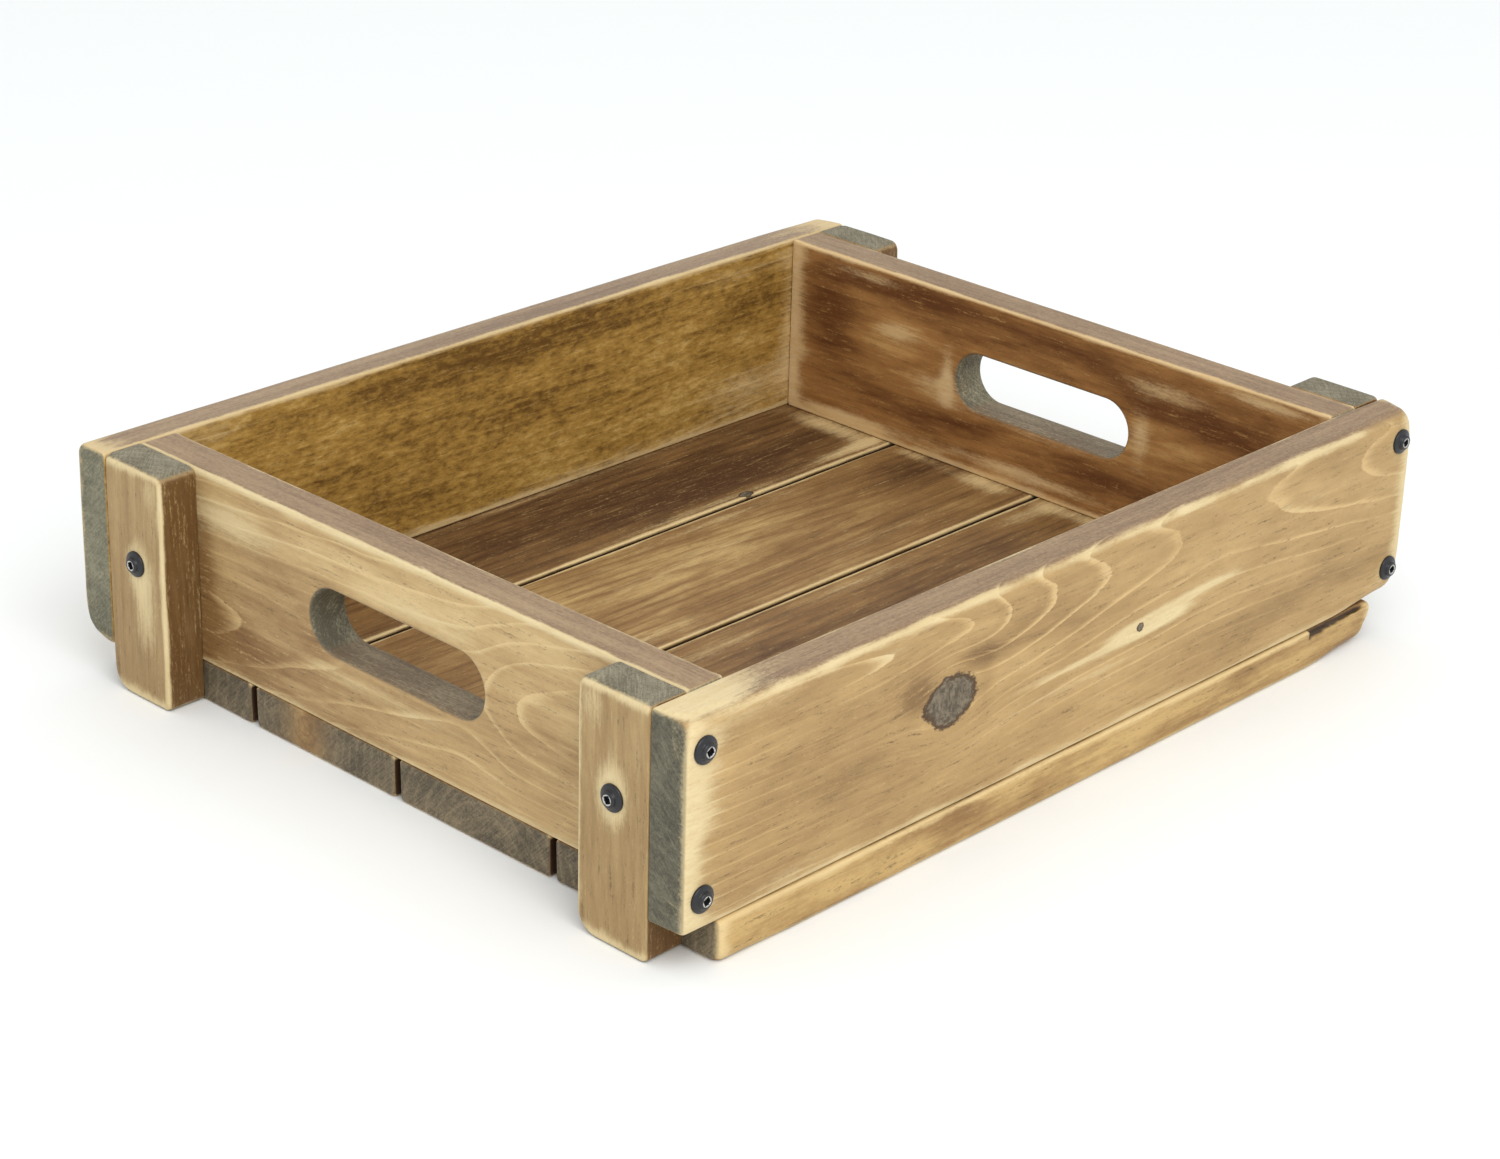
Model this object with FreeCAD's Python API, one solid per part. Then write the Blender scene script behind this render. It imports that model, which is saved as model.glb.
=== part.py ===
import FreeCAD
import Part

import math
import os

from FreeCAD import Placement, Rotation, Vector

# A low wooden apple crate, built the way it is screwed up on a bench.
#
# Four floor boards run the length of the crate. Two end boards stand on them, each with a hand hole, and two
# side boards close the long sides. A corner cleat outside each end board ties a corner together: two screws
# hold the side board to the cleat's edge, and one screw holds the cleat to the end board. The floor is
# screwed up into the end boards and the side boards from below.
#
# Millimetres. X runs along the side boards, Y from the front side board to the back one, +Z up. The origin
# is on the surface that the crate stands on, under the middle of the floor.

# ---------------------------------------------------------------- driving dimensions
CRATE_LENGTH = 460.0  # over the ends of the side boards
BOARD_THICKNESS = 19.05  # dressed 1 inch lumber, used for every piece
BOARD_WIDTH = 88.9  # dressed 4 inch lumber: side, end and floor boards
CLEAT_WIDTH = 38.1  # dressed 2 inch lumber
FLOOR_GAP = 3.0  # between two floor boards

FACE_EDGE = 4.0  # rounding round a side board's outer face
SIDE_TOP_CORNER = 7.0  # radius of a side board's two upper corners
SIDE_BOTTOM_CORNER = 10.0  # radius of its two lower corners
CLEAT_FOOT = 10.0  # radius of the foot corner that is rounded off most
CLEAT_CORNER = 3.5  # radius of a cleat's other foot corner and of its free top corner
CLEAT_EDGE = 1.5  # rounding along a cleat's free upright edge
FLOOR_END_EDGE = 3.0  # rounding under the ends of the floor boards
RIM_EDGE = 1.5  # rounding along the top of an end board
BOARD_EASE = 0.8  # rounding of every other edge that is eased

HAND_HOLE_HEIGHT = 28.6  # diameter of the bit that drills its two ends
HAND_HOLE_PITCH = 76.2  # between the centres of its two ends
HAND_HOLE_RISE = 2.5  # its centre, above the middle of the end board
HAND_HOLE_EDGE = 1.5  # rounding round its two mouths

# Screws: the black ones have a washer head, the ones in the floor a flush cone head.
THREAD_CREST = 4.2  # diameter over the thread
THREAD_CORE = 2.8  # diameter between its ridges
THREAD_PITCH = 2.8
SHANK = 3.2  # diameter of the plain stretch under the head
POINT_LENGTH = 5.0
SCREW_CLEARANCE = 0.2  # round a thread, in the board that its screw clamps down
SOCKET_SIDE = 3.0  # square drive
SOCKET_DEPTH = 2.2
WASHER_HEAD = 11.5  # diameter
WASHER_EDGE = 0.8  # thickness at the rim
HUB = 7.2  # diameter of the middle that stands up from the washer
HUB_HEIGHT = 2.8
HUB_CHAMFER = 0.5
CONE_HEAD = 8.4  # diameter
CONE_HEIGHT = 2.6
CONE_LAND = 0.3  # the straight band above the cone
CONE_SINK = 0.4  # how far below the board's face the cone head is driven
SIDE_SCREW_LENGTH = 38.0
FLOOR_SCREW_LENGTH = 32.0
CLEAT_SCREW_COVER = 6.0  # wood left beyond the point of a cleat's screw
SIDE_SCREW_EDGE = 13.7  # from a side screw to the side board's upper or lower edge
FLOOR_SCREW_EDGE = 20.0  # from a floor screw to the end of the joint that it holds
FLOOR_SCREW_PITCH = 140.0  # between the two screws that hold the floor to a side board
SOCKET_TURN = 25.0  # degrees that each socket is turned from the one before

# ---------------------------------------------------------------- worked-out places
FLOOR_NAMES = ["front", "mid_front", "mid_back", "back"]
CRATE_WIDTH = len(FLOOR_NAMES) * (BOARD_WIDTH + FLOOR_GAP) - FLOOR_GAP
RIM_Z = BOARD_THICKNESS + BOARD_WIDTH  # top of the crate
END_FACE_X = CRATE_LENGTH / 2 - BOARD_THICKNESS  # an end board's outer face, where its cleats sit
SIDE_FACE_Y = CRATE_WIDTH / 2 - BOARD_THICKNESS  # a side board's inner face
HAND_HOLE_Z = BOARD_WIDTH / 2 + HAND_HOLE_RISE  # above an end board's lower edge

LEFT, RIGHT = -1, 1  # ends, along X
FRONT, BACK = -1, 1  # sides, along Y
END_NAMES = {LEFT: "left", RIGHT: "right"}
SIDE_NAMES = {FRONT: "front", BACK: "back"}


# ---------------------------------------------------------------- boards
def rounded_plate(width, height, radii):
    """A board on edge, its outer face towards -Y and its inner face on y = 0, standing on z = 0.

    radii are those of its corners as the outer face is looked at: lower left, lower right, upper right,
    upper left.
    """
    corners = [Vector(-width / 2, 0, 0), Vector(width / 2, 0, 0),
               Vector(width / 2, 0, height), Vector(-width / 2, 0, height)]
    arcs = []
    for index, (corner, radius) in enumerate(zip(corners, radii)):
        before = (corners[index - 1] - corner).normalize()
        after = (corners[(index + 1) % len(corners)] - corner).normalize()
        middle = corner + (before + after) * radius * (1 - math.sqrt(0.5))
        arcs.append(Part.Arc(corner + before * radius, middle, corner + after * radius))
    edges = []
    for arc, following in zip(arcs, arcs[1:] + arcs[:1]):
        edges.append(arc.toShape())
        edges.append(Part.LineSegment(arc.EndPoint, following.StartPoint).toShape())
    return Part.Face(Part.Wire(edges)).extrude(Vector(0, -BOARD_THICKNESS, 0))


def filleted(shape, radius, test):
    """Rounds those edges of a shape whose bounding boxes pass a test."""
    return shape.makeFillet(radius, [edge for edge in shape.Edges if test(edge.BoundBox)])


def turned(shape, degrees):
    """A shape turned about the Z axis."""
    copy = shape.copy()
    copy.rotate(Vector(0, 0, 0), Vector(0, 0, 1), degrees)
    return copy


def side_board(side):
    """A long side board, rounded at its corners and round its outer face."""
    radii = [SIDE_BOTTOM_CORNER, SIDE_BOTTOM_CORNER, SIDE_TOP_CORNER, SIDE_TOP_CORNER]
    board = rounded_plate(CRATE_LENGTH, BOARD_WIDTH, radii)
    board = filleted(board, FACE_EDGE, lambda box: box.YMax < -BOARD_THICKNESS / 2)
    board = turned(board, 0 if side == FRONT else 180)
    board.translate(Vector(0, side * SIDE_FACE_Y, BOARD_THICKNESS))
    return board


def hand_hole():
    """The cutter of a hand hole: two drilled ends and the slot between them."""
    depth = 2 * BOARD_THICKNESS
    start = Vector(0, BOARD_THICKNESS / 2, HAND_HOLE_Z)
    half_pitch = Vector(HAND_HOLE_PITCH / 2, 0, 0)
    drilled = [Part.makeCylinder(HAND_HOLE_HEIGHT / 2, depth, start + offset, Vector(0, -1, 0))
               for offset in (-half_pitch, half_pitch)]
    slot = Part.makeBox(HAND_HOLE_PITCH, depth, HAND_HOLE_HEIGHT)
    slot.translate(start - half_pitch - Vector(0, depth, HAND_HOLE_HEIGHT / 2))
    return slot.fuse(drilled).removeSplitter()


def end_board(end):
    """An end board between the side boards, with its hand hole and its eased top."""
    length = 2 * SIDE_FACE_Y
    board = Part.makeBox(length, BOARD_THICKNESS, BOARD_WIDTH, Vector(-length / 2, -BOARD_THICKNESS, 0))
    board = filleted(board, RIM_EDGE, lambda box: box.ZMin > BOARD_WIDTH / 2 and box.YLength < RIM_EDGE)
    board = board.cut(hand_hole())
    reach = HAND_HOLE_HEIGHT / 2 + RIM_EDGE
    board = filleted(board, HAND_HOLE_EDGE, lambda box: box.ZMin > HAND_HOLE_Z - reach
                     and box.ZMax < HAND_HOLE_Z + reach and box.YLength < HAND_HOLE_EDGE)
    board = turned(board, 90 * end)
    board.translate(Vector(end * (END_FACE_X - BOARD_THICKNESS), 0, BOARD_THICKNESS))
    return board


def cleat(end, side):
    """A corner cleat, upright outside an end board.

    As its end of the crate is looked at, the left corner of its foot is rounded off most.
    """
    free = -side * end  # which way along X its free edge lies, before it is turned to its end
    top_radii = {-1: BOARD_EASE, 1: BOARD_EASE}
    top_radii[free] = CLEAT_CORNER
    post = rounded_plate(CLEAT_WIDTH, RIM_Z, [CLEAT_FOOT, CLEAT_CORNER, top_radii[1], top_radii[-1]])
    post = filleted(post, CLEAT_EDGE, lambda box: box.YMax < -BOARD_THICKNESS / 2
                    and box.ZLength > RIM_Z / 2 and box.XMin * free > 0)
    post = turned(post, 90 * end)
    post.translate(Vector(end * END_FACE_X, side * (SIDE_FACE_Y - CLEAT_WIDTH / 2), 0))
    return post


def floor_board_span(index):
    """The front and back edges of a floor board, in Y."""
    front = -CRATE_WIDTH / 2 + index * (BOARD_WIDTH + FLOOR_GAP)
    return front, front + BOARD_WIDTH


def floor_board(index):
    """A floor board, eased along its length and rounded under its ends."""
    front, back = floor_board_span(index)
    board = Part.makeBox(2 * END_FACE_X, back - front, BOARD_THICKNESS, Vector(-END_FACE_X, front, 0))
    board = filleted(board, FLOOR_END_EDGE, lambda box: box.YLength > BOARD_WIDTH / 2
                     and box.ZMax < BOARD_THICKNESS / 2)
    return filleted(board, BOARD_EASE, lambda box: box.XLength > END_FACE_X)


# ---------------------------------------------------------------- screws
def thread_outline(length, plain):
    """A screw's half outline below its head, as (radius, z) points from z = 0 down to its point.

    plain is the length of the stretch without thread. The thread is a row of ridges, one for each pitch.
    """
    crest, core, shank = THREAD_CREST / 2, THREAD_CORE / 2, SHANK / 2
    ridges = int((length - POINT_LENGTH - plain) / THREAD_PITCH)
    first = length - POINT_LENGTH - ridges * THREAD_PITCH
    points = [(shank, 0), (shank, shank - core - first), (core, -first)]
    for ridge in range(ridges):
        for radius, share in ((core, 0.35), (crest, 0.6), (core, 0.75)):
            points.append((radius, -first - (ridge + share) * THREAD_PITCH))
    return points + [(core, POINT_LENGTH - length), (0, -length)]


def screw_solid(outline, top, socket_turn):
    """The solid of a screw whose half outline is turned round the Z axis, with its square socket."""
    ring = Part.makePolygon([Vector(radius, 0, z) for radius, z in outline + outline[:1]])
    solid = Part.Face(ring).revolve(Vector(0, 0, 0), Vector(0, 0, 1), 360)
    corner = Vector(-SOCKET_SIDE / 2, -SOCKET_SIDE / 2, top - SOCKET_DEPTH)
    socket = Part.makeBox(SOCKET_SIDE, SOCKET_SIDE, 2 * SOCKET_DEPTH, corner)
    return solid.cut(turned(socket, socket_turn))


def washer_screw(length, socket_turn):
    """A washer-head screw, with its head's flat underside on z = 0 and its plain shank in one board."""
    washer, hub = WASHER_HEAD / 2, HUB / 2
    head = [(0, HUB_HEIGHT), (hub - HUB_CHAMFER, HUB_HEIGHT), (hub, HUB_HEIGHT - HUB_CHAMFER),
            (hub, WASHER_EDGE + HUB_CHAMFER), (washer, WASHER_EDGE), (washer, 0)]
    return screw_solid(head + thread_outline(length, BOARD_THICKNESS), HUB_HEIGHT, socket_turn)


def washer_screw_hole(length):
    """The plain hole under a washer head."""
    return Part.makeCylinder(THREAD_CREST / 2 + SCREW_CLEARANCE, length, Vector(0, 0, -length))


def cone_screw(length, socket_turn):
    """A flush screw, its face CONE_SINK below z = 0."""
    neck = CONE_SINK + CONE_LAND + CONE_HEIGHT
    head = [(0, -CONE_SINK), (CONE_HEAD / 2, -CONE_SINK), (CONE_HEAD / 2, -CONE_SINK - CONE_LAND)]
    below = [(radius, z - neck) for radius, z in thread_outline(length - neck, BOARD_THICKNESS - neck)]
    return screw_solid(head + below, -CONE_SINK, socket_turn)


def cone_screw_hole(length):
    """The countersunk hole of a flush screw: a clearance hole, its cone and the mouth above the head."""
    slope = (CONE_HEAD - SHANK) / 2 / CONE_HEIGHT
    sunk = CONE_SINK + CONE_LAND
    mouth = CONE_HEAD / 2 + slope * sunk
    outline = [(0, 0), (mouth, 0), (CONE_HEAD / 2, -sunk)]
    hole = THREAD_CREST / 2 + SCREW_CLEARANCE
    outline += [(hole, -sunk - (CONE_HEAD / 2 - hole) / slope), (hole, -length), (0, -length)]
    ring = Part.makePolygon([Vector(radius, 0, z) for radius, z in outline + outline[:1]])
    return Part.Face(ring).revolve(Vector(0, 0, 0), Vector(0, 0, 1), 360)


SCREW_KINDS = {
    "side": (washer_screw, washer_screw_hole, SIDE_SCREW_LENGTH),
    "cleat": (washer_screw, washer_screw_hole, 2 * BOARD_THICKNESS - CLEAT_SCREW_COVER),
    "floor": (cone_screw, cone_screw_hole, FLOOR_SCREW_LENGTH),
}


def corner_screws():
    """The screws of the four corners, as (node, kind, place, outward, clamped board, holding board)."""
    heights = {"lower": BOARD_THICKNESS + SIDE_SCREW_EDGE, "upper": RIM_Z - SIDE_SCREW_EDGE}
    screws = []
    for side, side_name in SIDE_NAMES.items():
        for end, end_name in END_NAMES.items():
            corner = f"{side_name}_{end_name}"
            post = f"{corner}_cleat"
            x = end * (END_FACE_X + BOARD_THICKNESS / 2)
            for name, z in heights.items():
                screws.append((f"{corner}_{name}_screw", "side", Vector(x, side * CRATE_WIDTH / 2, z),
                               Vector(0, side, 0), f"{side_name}_side_board", post))
            place = Vector(end * CRATE_LENGTH / 2, side * (SIDE_FACE_Y - CLEAT_WIDTH / 2),
                           BOARD_THICKNESS + BOARD_WIDTH / 2)
            screws.append((f"{post}_screw", "cleat", place, Vector(end, 0, 0), post, f"{end_name}_end_board"))
    return screws


def floor_screws():
    """The screws up through the floor, as corner_screws gives them, one node for each floor board."""
    screws = []
    for index, name in enumerate(FLOOR_NAMES):
        front, back = floor_board_span(index)
        under_end = (max(front, -SIDE_FACE_Y), min(back, SIDE_FACE_Y))
        held = [(end * (END_FACE_X - BOARD_THICKNESS / 2), y, f"{end_name}_end_board")
                for end, end_name in END_NAMES.items()
                for y in (under_end[0] + FLOOR_SCREW_EDGE, under_end[1] - FLOOR_SCREW_EDGE)]
        for side, side_name in SIDE_NAMES.items():
            y = side * (SIDE_FACE_Y + BOARD_THICKNESS / 2)
            if front < y < back:
                held += [(x, y, f"{side_name}_side_board")
                         for x in (-FLOOR_SCREW_PITCH / 2, FLOOR_SCREW_PITCH / 2)]
        screws += [(f"floor_screws_{name}", "floor", Vector(x, y, 0), Vector(0, 0, -1),
                    f"floor_board_{name}", holder) for x, y, holder in held]
    return screws


# ---------------------------------------------------------------- assembly
def crate():
    """Every node of the crate by name, as a list of its solids."""
    boards = {f"{name}_side_board": side_board(side) for side, name in SIDE_NAMES.items()}
    for end, end_name in END_NAMES.items():
        boards[f"{end_name}_end_board"] = end_board(end)
        for side, side_name in SIDE_NAMES.items():
            boards[f"{side_name}_{end_name}_cleat"] = cleat(end, side)
    for index, name in enumerate(FLOOR_NAMES):
        boards[f"floor_board_{name}"] = floor_board(index)
    screws = {}
    for number, (node, kind, place, outward, clamped, holder) in enumerate(corner_screws() + floor_screws()):
        make_screw, make_hole, length = SCREW_KINDS[kind]
        screw = make_screw(length, number * SOCKET_TURN)
        hole = make_hole(length)
        screw.Placement = hole.Placement = Placement(place, Rotation(Vector(0, 0, 1), outward))
        boards[clamped] = boards[clamped].cut(hole)
        boards[holder] = boards[holder].cut(screw)
        screws.setdefault(node, []).append(screw)
    nodes = {name: [board] for name, board in boards.items()}
    nodes.update(screws)
    return nodes


def main():
    os.makedirs("parts", exist_ok=True)
    for name, pieces in crate().items():
        solids = [solid for piece in pieces for solid in piece.Solids]
        if len(solids) != len(pieces) or not all(solid.isValid() for solid in solids):
            raise ValueError(f"{name} is not made of one valid solid for each of its pieces")
        shape = solids[0] if len(solids) == 1 else Part.makeCompound(solids)
        shape.exportStep(f"parts/{name}.step")
        print(f"{name:28s} {len(solids)} solid(s), {shape.Volume / 1000:8.2f} cm3")


main()
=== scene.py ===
# %% [markdown]
# # A wooden apple crate
# Twelve boards of dressed softwood are screwed together with black washer-head screws. The wood was stained
# brown and then sanded through along its edges, so each board has three layers to show: bare wood, stain,
# and dark end grain. We make each board as one closed surface worked out with numpy, give every point of it
# a few numbers that say what the wood is like there, and let one wood finish read those numbers.
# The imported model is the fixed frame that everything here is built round, so it's loaded first.

# %% Load the frame
import itertools
import math

import bpy
import numpy as np
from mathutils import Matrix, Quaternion, Vector


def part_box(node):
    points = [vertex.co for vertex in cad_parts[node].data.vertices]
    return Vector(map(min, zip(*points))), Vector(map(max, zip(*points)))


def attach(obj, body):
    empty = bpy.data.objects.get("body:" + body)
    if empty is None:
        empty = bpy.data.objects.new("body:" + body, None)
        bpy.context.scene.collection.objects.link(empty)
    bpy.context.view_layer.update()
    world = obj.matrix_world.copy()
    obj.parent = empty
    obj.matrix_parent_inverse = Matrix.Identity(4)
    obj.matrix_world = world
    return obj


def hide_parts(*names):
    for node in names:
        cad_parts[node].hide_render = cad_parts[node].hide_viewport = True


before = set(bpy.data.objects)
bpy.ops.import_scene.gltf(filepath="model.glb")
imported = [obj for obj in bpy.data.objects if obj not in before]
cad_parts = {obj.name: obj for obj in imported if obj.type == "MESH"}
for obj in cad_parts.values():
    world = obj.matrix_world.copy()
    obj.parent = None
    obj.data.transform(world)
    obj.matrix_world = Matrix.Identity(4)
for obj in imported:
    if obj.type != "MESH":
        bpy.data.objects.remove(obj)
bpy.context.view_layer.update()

print("nodes:", len(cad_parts))

# %% [markdown]
# ## Millimetres and a board's own directions
# A joiner thinks of a board as length, width and thickness, whichever way it's turned. So every board is
# worked out in its own directions: a along the grain, b across it, and c outward through the thickness.
# Only the last step turns it into the crate's place. All lengths are millimetres until they go into a mesh.

# %% A board's own directions
MM = 0.001  # metres in a millimetre
DIRECTIONS = {"+x": (1, 0, 0), "-x": (-1, 0, 0), "+y": (0, 1, 0), "-y": (0, -1, 0),
              "+z": (0, 0, 1), "-z": (0, 0, -1)}


class Place:
    """Where a node's board lies: its middle, its three directions as rows, and its size along them."""

    def __init__(self, node, along, outward):
        low, high = (np.array(corner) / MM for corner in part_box(node))
        a, c = np.array(DIRECTIONS[along], float), np.array(DIRECTIONS[outward], float)
        self.axes = np.array([a, np.cross(c, a), c])
        self.middle = (low + high) / 2
        self.size = np.abs(self.axes @ (high - low))

    def local(self, points):
        """Points of the crate, in the board's own directions: the shift to the middle, then the turn."""
        return (np.asarray(points, float) - self.middle) @ self.axes.T

    def world(self, points):
        """Points of the board, in the crate's directions: the turn back, then the shift."""
        return points @ self.axes + self.middle


example = Place("front_side_board", "+x", "-y")
print("front side board, mm:", example.size.round(2))

# %% [markdown]
# ## Smooth noise
# Nothing on a sanded board is quite even. Value noise gives numbers that wander smoothly: random values sit
# on the corners of a lattice of cells, and a point gets a blend of the eight corners round it. Long cells
# along a and short ones across make it wander the way wood does.

# %% Smooth noise
def smooth_noise(points, cell, seed):
    """Value noise from -1 to 1. The weight of a corner is the product of 3t^2 - 2t^3 over the three
    directions, where t is how far across its cell the point is."""
    table = np.random.default_rng(seed).uniform(-1, 1, (32, 32, 32))
    scaled = points / np.asarray(cell, float)
    base = np.floor(scaled).astype(int)
    share = scaled - base
    share = share * share * (3 - 2 * share)
    total = np.zeros(points.shape[:-1])
    for corner in itertools.product((0, 1), repeat=3):
        weight = np.prod(np.where(corner, share, 1 - share), axis=-1)
        i, j, k = np.moveaxis((base + corner) % 32, -1, 0)
        total += weight * table[i, j, k]
    return total


def smooth_step(low, high, value):
    """0 below low, 1 above high, and 3t^2 - 2t^3 between."""
    t = np.clip((value - low) / (high - low), 0, 1)
    return t * t * (3 - 2 * t)


# %% [markdown]
# ## The surface of a plain board
# A cube with a bevel would do for a new board, but these were rounded by hand: one arris is barely broken
# and the next is worn to a ball. So the board is its cross-section carried along its length. The section is
# a rectangle whose four corners each have their own radius. At each end the section draws in along a
# quarter circle, and how far it draws in also changes from place to place round it. A patch closes each end.

# %% A section carried along a board
ARC_STEPS = 4  # steps in half of a rounded corner
END_STEPS = 7  # steps in the rounding at an end
CORNER_REACH = 8.0  # how far along a side the extra rounding of an end's corner is felt


def section_ring(size, radii, cell):
    """A rounded rectangle for each station of a board, as (stations, points, 2) places in b and c.

    It starts half way round the corner at +b +c and runs over the outer face, the -b edge, the inner face
    and the +b edge. radii is (stations, 4). A corner point is the arc's middle plus the radius times the
    cosine and sine of its angle; a point on a side is part of the way from one arc's end to the next's
    start. Also returns each point's outward direction and its distance from the corners before and after."""
    half = size[1:] / 2
    signs = np.array([(1, 1), (-1, 1), (-1, -1), (1, -1)])
    blocks, outward, before, after, starts = [], [], [], [], []
    count = 0
    for side in range(4):
        nexts = (side + 1) % 4
        span = size[1] if side % 2 == 0 else size[2]
        steps = max(6, int(round(span / cell)))
        leave = np.radians(90 * side + np.linspace(45, 90, ARC_STEPS + 1))
        enter = np.radians(90 * side + 90 + np.linspace(0, 45, ARC_STEPS + 1))
        arcs = []
        for corner, angles in ((side, leave), (nexts, enter)):
            radius = radii[:, corner, None, None]
            middle = signs[corner] * (half - radius)
            arcs.append(middle + radius * np.stack([np.cos(angles), np.sin(angles)], -1))
        share = np.linspace(0, 1, steps + 1)[1:, None]
        straight = arcs[0][:, -1:] + (arcs[1][:, :1] - arcs[0][:, -1:]) * share
        block = np.concatenate([arcs[0], straight, arcs[1][:, 1:-1]], axis=1)
        turn = np.concatenate([leave, np.full(steps, leave[-1]), enter[1:-1]])
        travelled = np.linspace(0, span, len(turn), endpoint=False)
        starts.append(count)
        count += len(turn)
        blocks.append(block)
        outward.append(np.stack([np.cos(turn), np.sin(turn)], -1))
        before.append(travelled)
        after.append(span - travelled)
    return np.concatenate(blocks, 1), np.concatenate(outward), before, after, starts


def end_draw(before, after, sides, corners):
    """How far the section draws in at an end, round the ring: the side's own amount, plus what each of its
    two corners adds, which fades as a bell curve with the distance from it."""
    amounts = []
    for side in range(4):
        first, second = corners[side] - sides[side], corners[(side + 1) % 4] - sides[side]
        amounts.append(sides[side] + first * np.exp(-(before[side] / CORNER_REACH) ** 2)
                       + second * np.exp(-(after[side] / CORNER_REACH) ** 2))
    return np.concatenate(amounts)


def patch_indices(starts, count, first_new):
    """The grid of point numbers of an end patch, whose border is the last ring. The new points inside it are
    numbered on from first_new."""
    across, through = starts[1], starts[2] - starts[1]
    grid = np.zeros((across + 1, through + 1), int)
    grid[:, 0] = np.arange(across + 1)
    grid[-1, :] = starts[1] + np.arange(through + 1)
    grid[:, -1] = starts[2] + np.arange(across, -1, -1)
    grid[0, :] = (starts[3] + np.arange(through, -1, -1)) % count
    inside = (across - 1) * (through - 1)
    grid[1:-1, 1:-1] = first_new + np.arange(inside).reshape(across - 1, through - 1)
    return grid


def patch_inside(border, grid):
    """Fills a patch from its border: the blend of the two long sides plus the blend of the two short ones,
    less the blend of the four corners, which both of those hold."""
    u = np.linspace(0, 1, grid.shape[0])[1:-1, None, None]
    v = np.linspace(0, 1, grid.shape[1])[None, 1:-1, None]
    low, high = border[grid[1:-1, :1]], border[grid[1:-1, -1:]]
    left, right = border[grid[:1, 1:-1]], border[grid[-1:, 1:-1]]
    corners = [border[grid[i, j]] for i, j in ((0, 0), (-1, 0), (0, -1), (-1, -1))]
    blend = ((1 - u) * (1 - v) * corners[0] + u * (1 - v) * corners[1]
             + (1 - u) * v * corners[2] + u * v * corners[3])
    inside = (1 - v) * low + v * high + (1 - u) * left + u * right - blend
    return inside.reshape(-1, 3)


def grid_quads(grid):
    """The quads of a grid of point numbers, each as its four corners in order."""
    return np.stack([grid[:-1, :-1], grid[1:, :-1], grid[1:, 1:], grid[:-1, 1:]], -1).reshape(-1, 4)


def plank_surface(size, arrises, ends, cell):
    """The closed surface of a board, as (points, normals, quads) in its own directions.

    arrises are the radii of the four long edges, at +b +c, -b +c, -b -c and +b -c. ends holds for the -a
    end and the +a end how far the four sides and the four corners draw in. Along the board a point lies at
    t times the length that is left between the two end roundings; in a rounding, at an angle h, it lies the
    draw times (1 - sin h) short of the end, and the section is in by the draw times (1 - cos h)."""
    stations = max(8, int(round(size[0] / cell)))
    along = np.linspace(-1, 1, stations + 1)
    angles = np.linspace(0, math.pi / 2, END_STEPS + 1)[1:]
    tilt = np.concatenate([-angles[::-1], np.zeros(stations + 1), angles])
    reach = np.concatenate([np.full(END_STEPS, -1.0), along, np.full(END_STEPS, 1.0)])
    near_end = smooth_step(0.8, 1.0, np.abs(reach))[:, None]
    end_radii = np.where(reach[:, None] < 0, *(np.maximum(arrises, np.array(end[1]) + 0.5) for end in ends))
    radii = arrises + (end_radii - arrises) * near_end
    ring, outward, before, after, starts = section_ring(size, radii, cell)
    draws = [end_draw(before, after, *end) for end in ends]
    draw = np.where(reach[:, None] < 0, draws[0], draws[1])
    rows, count = len(tilt), ring.shape[1]
    points, normals = np.zeros((rows, count, 3)), np.zeros((rows, count, 3))
    steep = np.abs(tilt)[:, None]
    span = size[0] / 2 - draw
    points[..., 0] = reach[:, None] * span + np.sign(tilt)[:, None] * draw * np.sin(steep)
    points[..., 1:] = ring - (draw * (1 - np.cos(steep)))[..., None] * outward
    normals[..., 0] = np.sin(tilt)[:, None]
    normals[..., 1:] = np.cos(steep)[..., None] * outward
    points, normals = points.reshape(-1, 3), normals.reshape(-1, 3)
    body = np.arange(rows * count).reshape(rows, count)
    body = np.concatenate([body, body[:, :1]], axis=1).T
    quads = [grid_quads(body)]
    for first, sign in ((0, -1), ((rows - 1) * count, 1)):
        border = points[first:first + count]
        grid = patch_indices(starts, count, count)
        inside = patch_inside(border, grid)
        numbers = np.where(grid < count, grid + first, grid - count + len(points))
        quads.append(grid_quads(numbers if sign > 0 else numbers[::-1]))
        points = np.concatenate([points, inside])
        normals = np.concatenate([normals, np.tile((float(sign), 0, 0), (len(inside), 1))])
    return points, normals, np.concatenate(quads)


def signed_volume(points, quads):
    """The volume inside a closed surface: a sixth of the sum of the triangles' triple products."""
    total = 0.0
    for triangle in ((0, 1, 2), (0, 2, 3)):
        p, q, r = (points[quads[:, corner]] for corner in triangle)
        total += np.einsum("ij,ij->", p, np.cross(q, r)) / 6
    return total


trial = plank_surface(example.size, [6, 3, 1, 1], [([3, 3, 1, 3], [9, 8, 1, 1])] * 2, 3.0)
print("trial board:", len(trial[0]), "points,", round(signed_volume(trial[0], trial[2]) / 1000, 1), "cm3")

# %% [markdown]
# ## The surface of a board with a hand hole
# An end board has a slot through it, so it's shaped like a squashed ring. A boolean cut would leave ragged
# faces round the slot and lose the even grid. Instead each point of the outline is paired with a point of
# the slot's wall, and a loop runs from the slot over the outer face, round the edge, back over the inner
# face and through the slot. All the loops side by side make the board, closed both ways.

# %% A loop carried round a hand hole
HOLE_STEPS = 5  # steps in a rounded arris of an end board
FACE_STEPS = 34  # rows of faces between the slot and the outline
WALL_STEPS = 10  # rows of faces through the thickness


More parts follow.
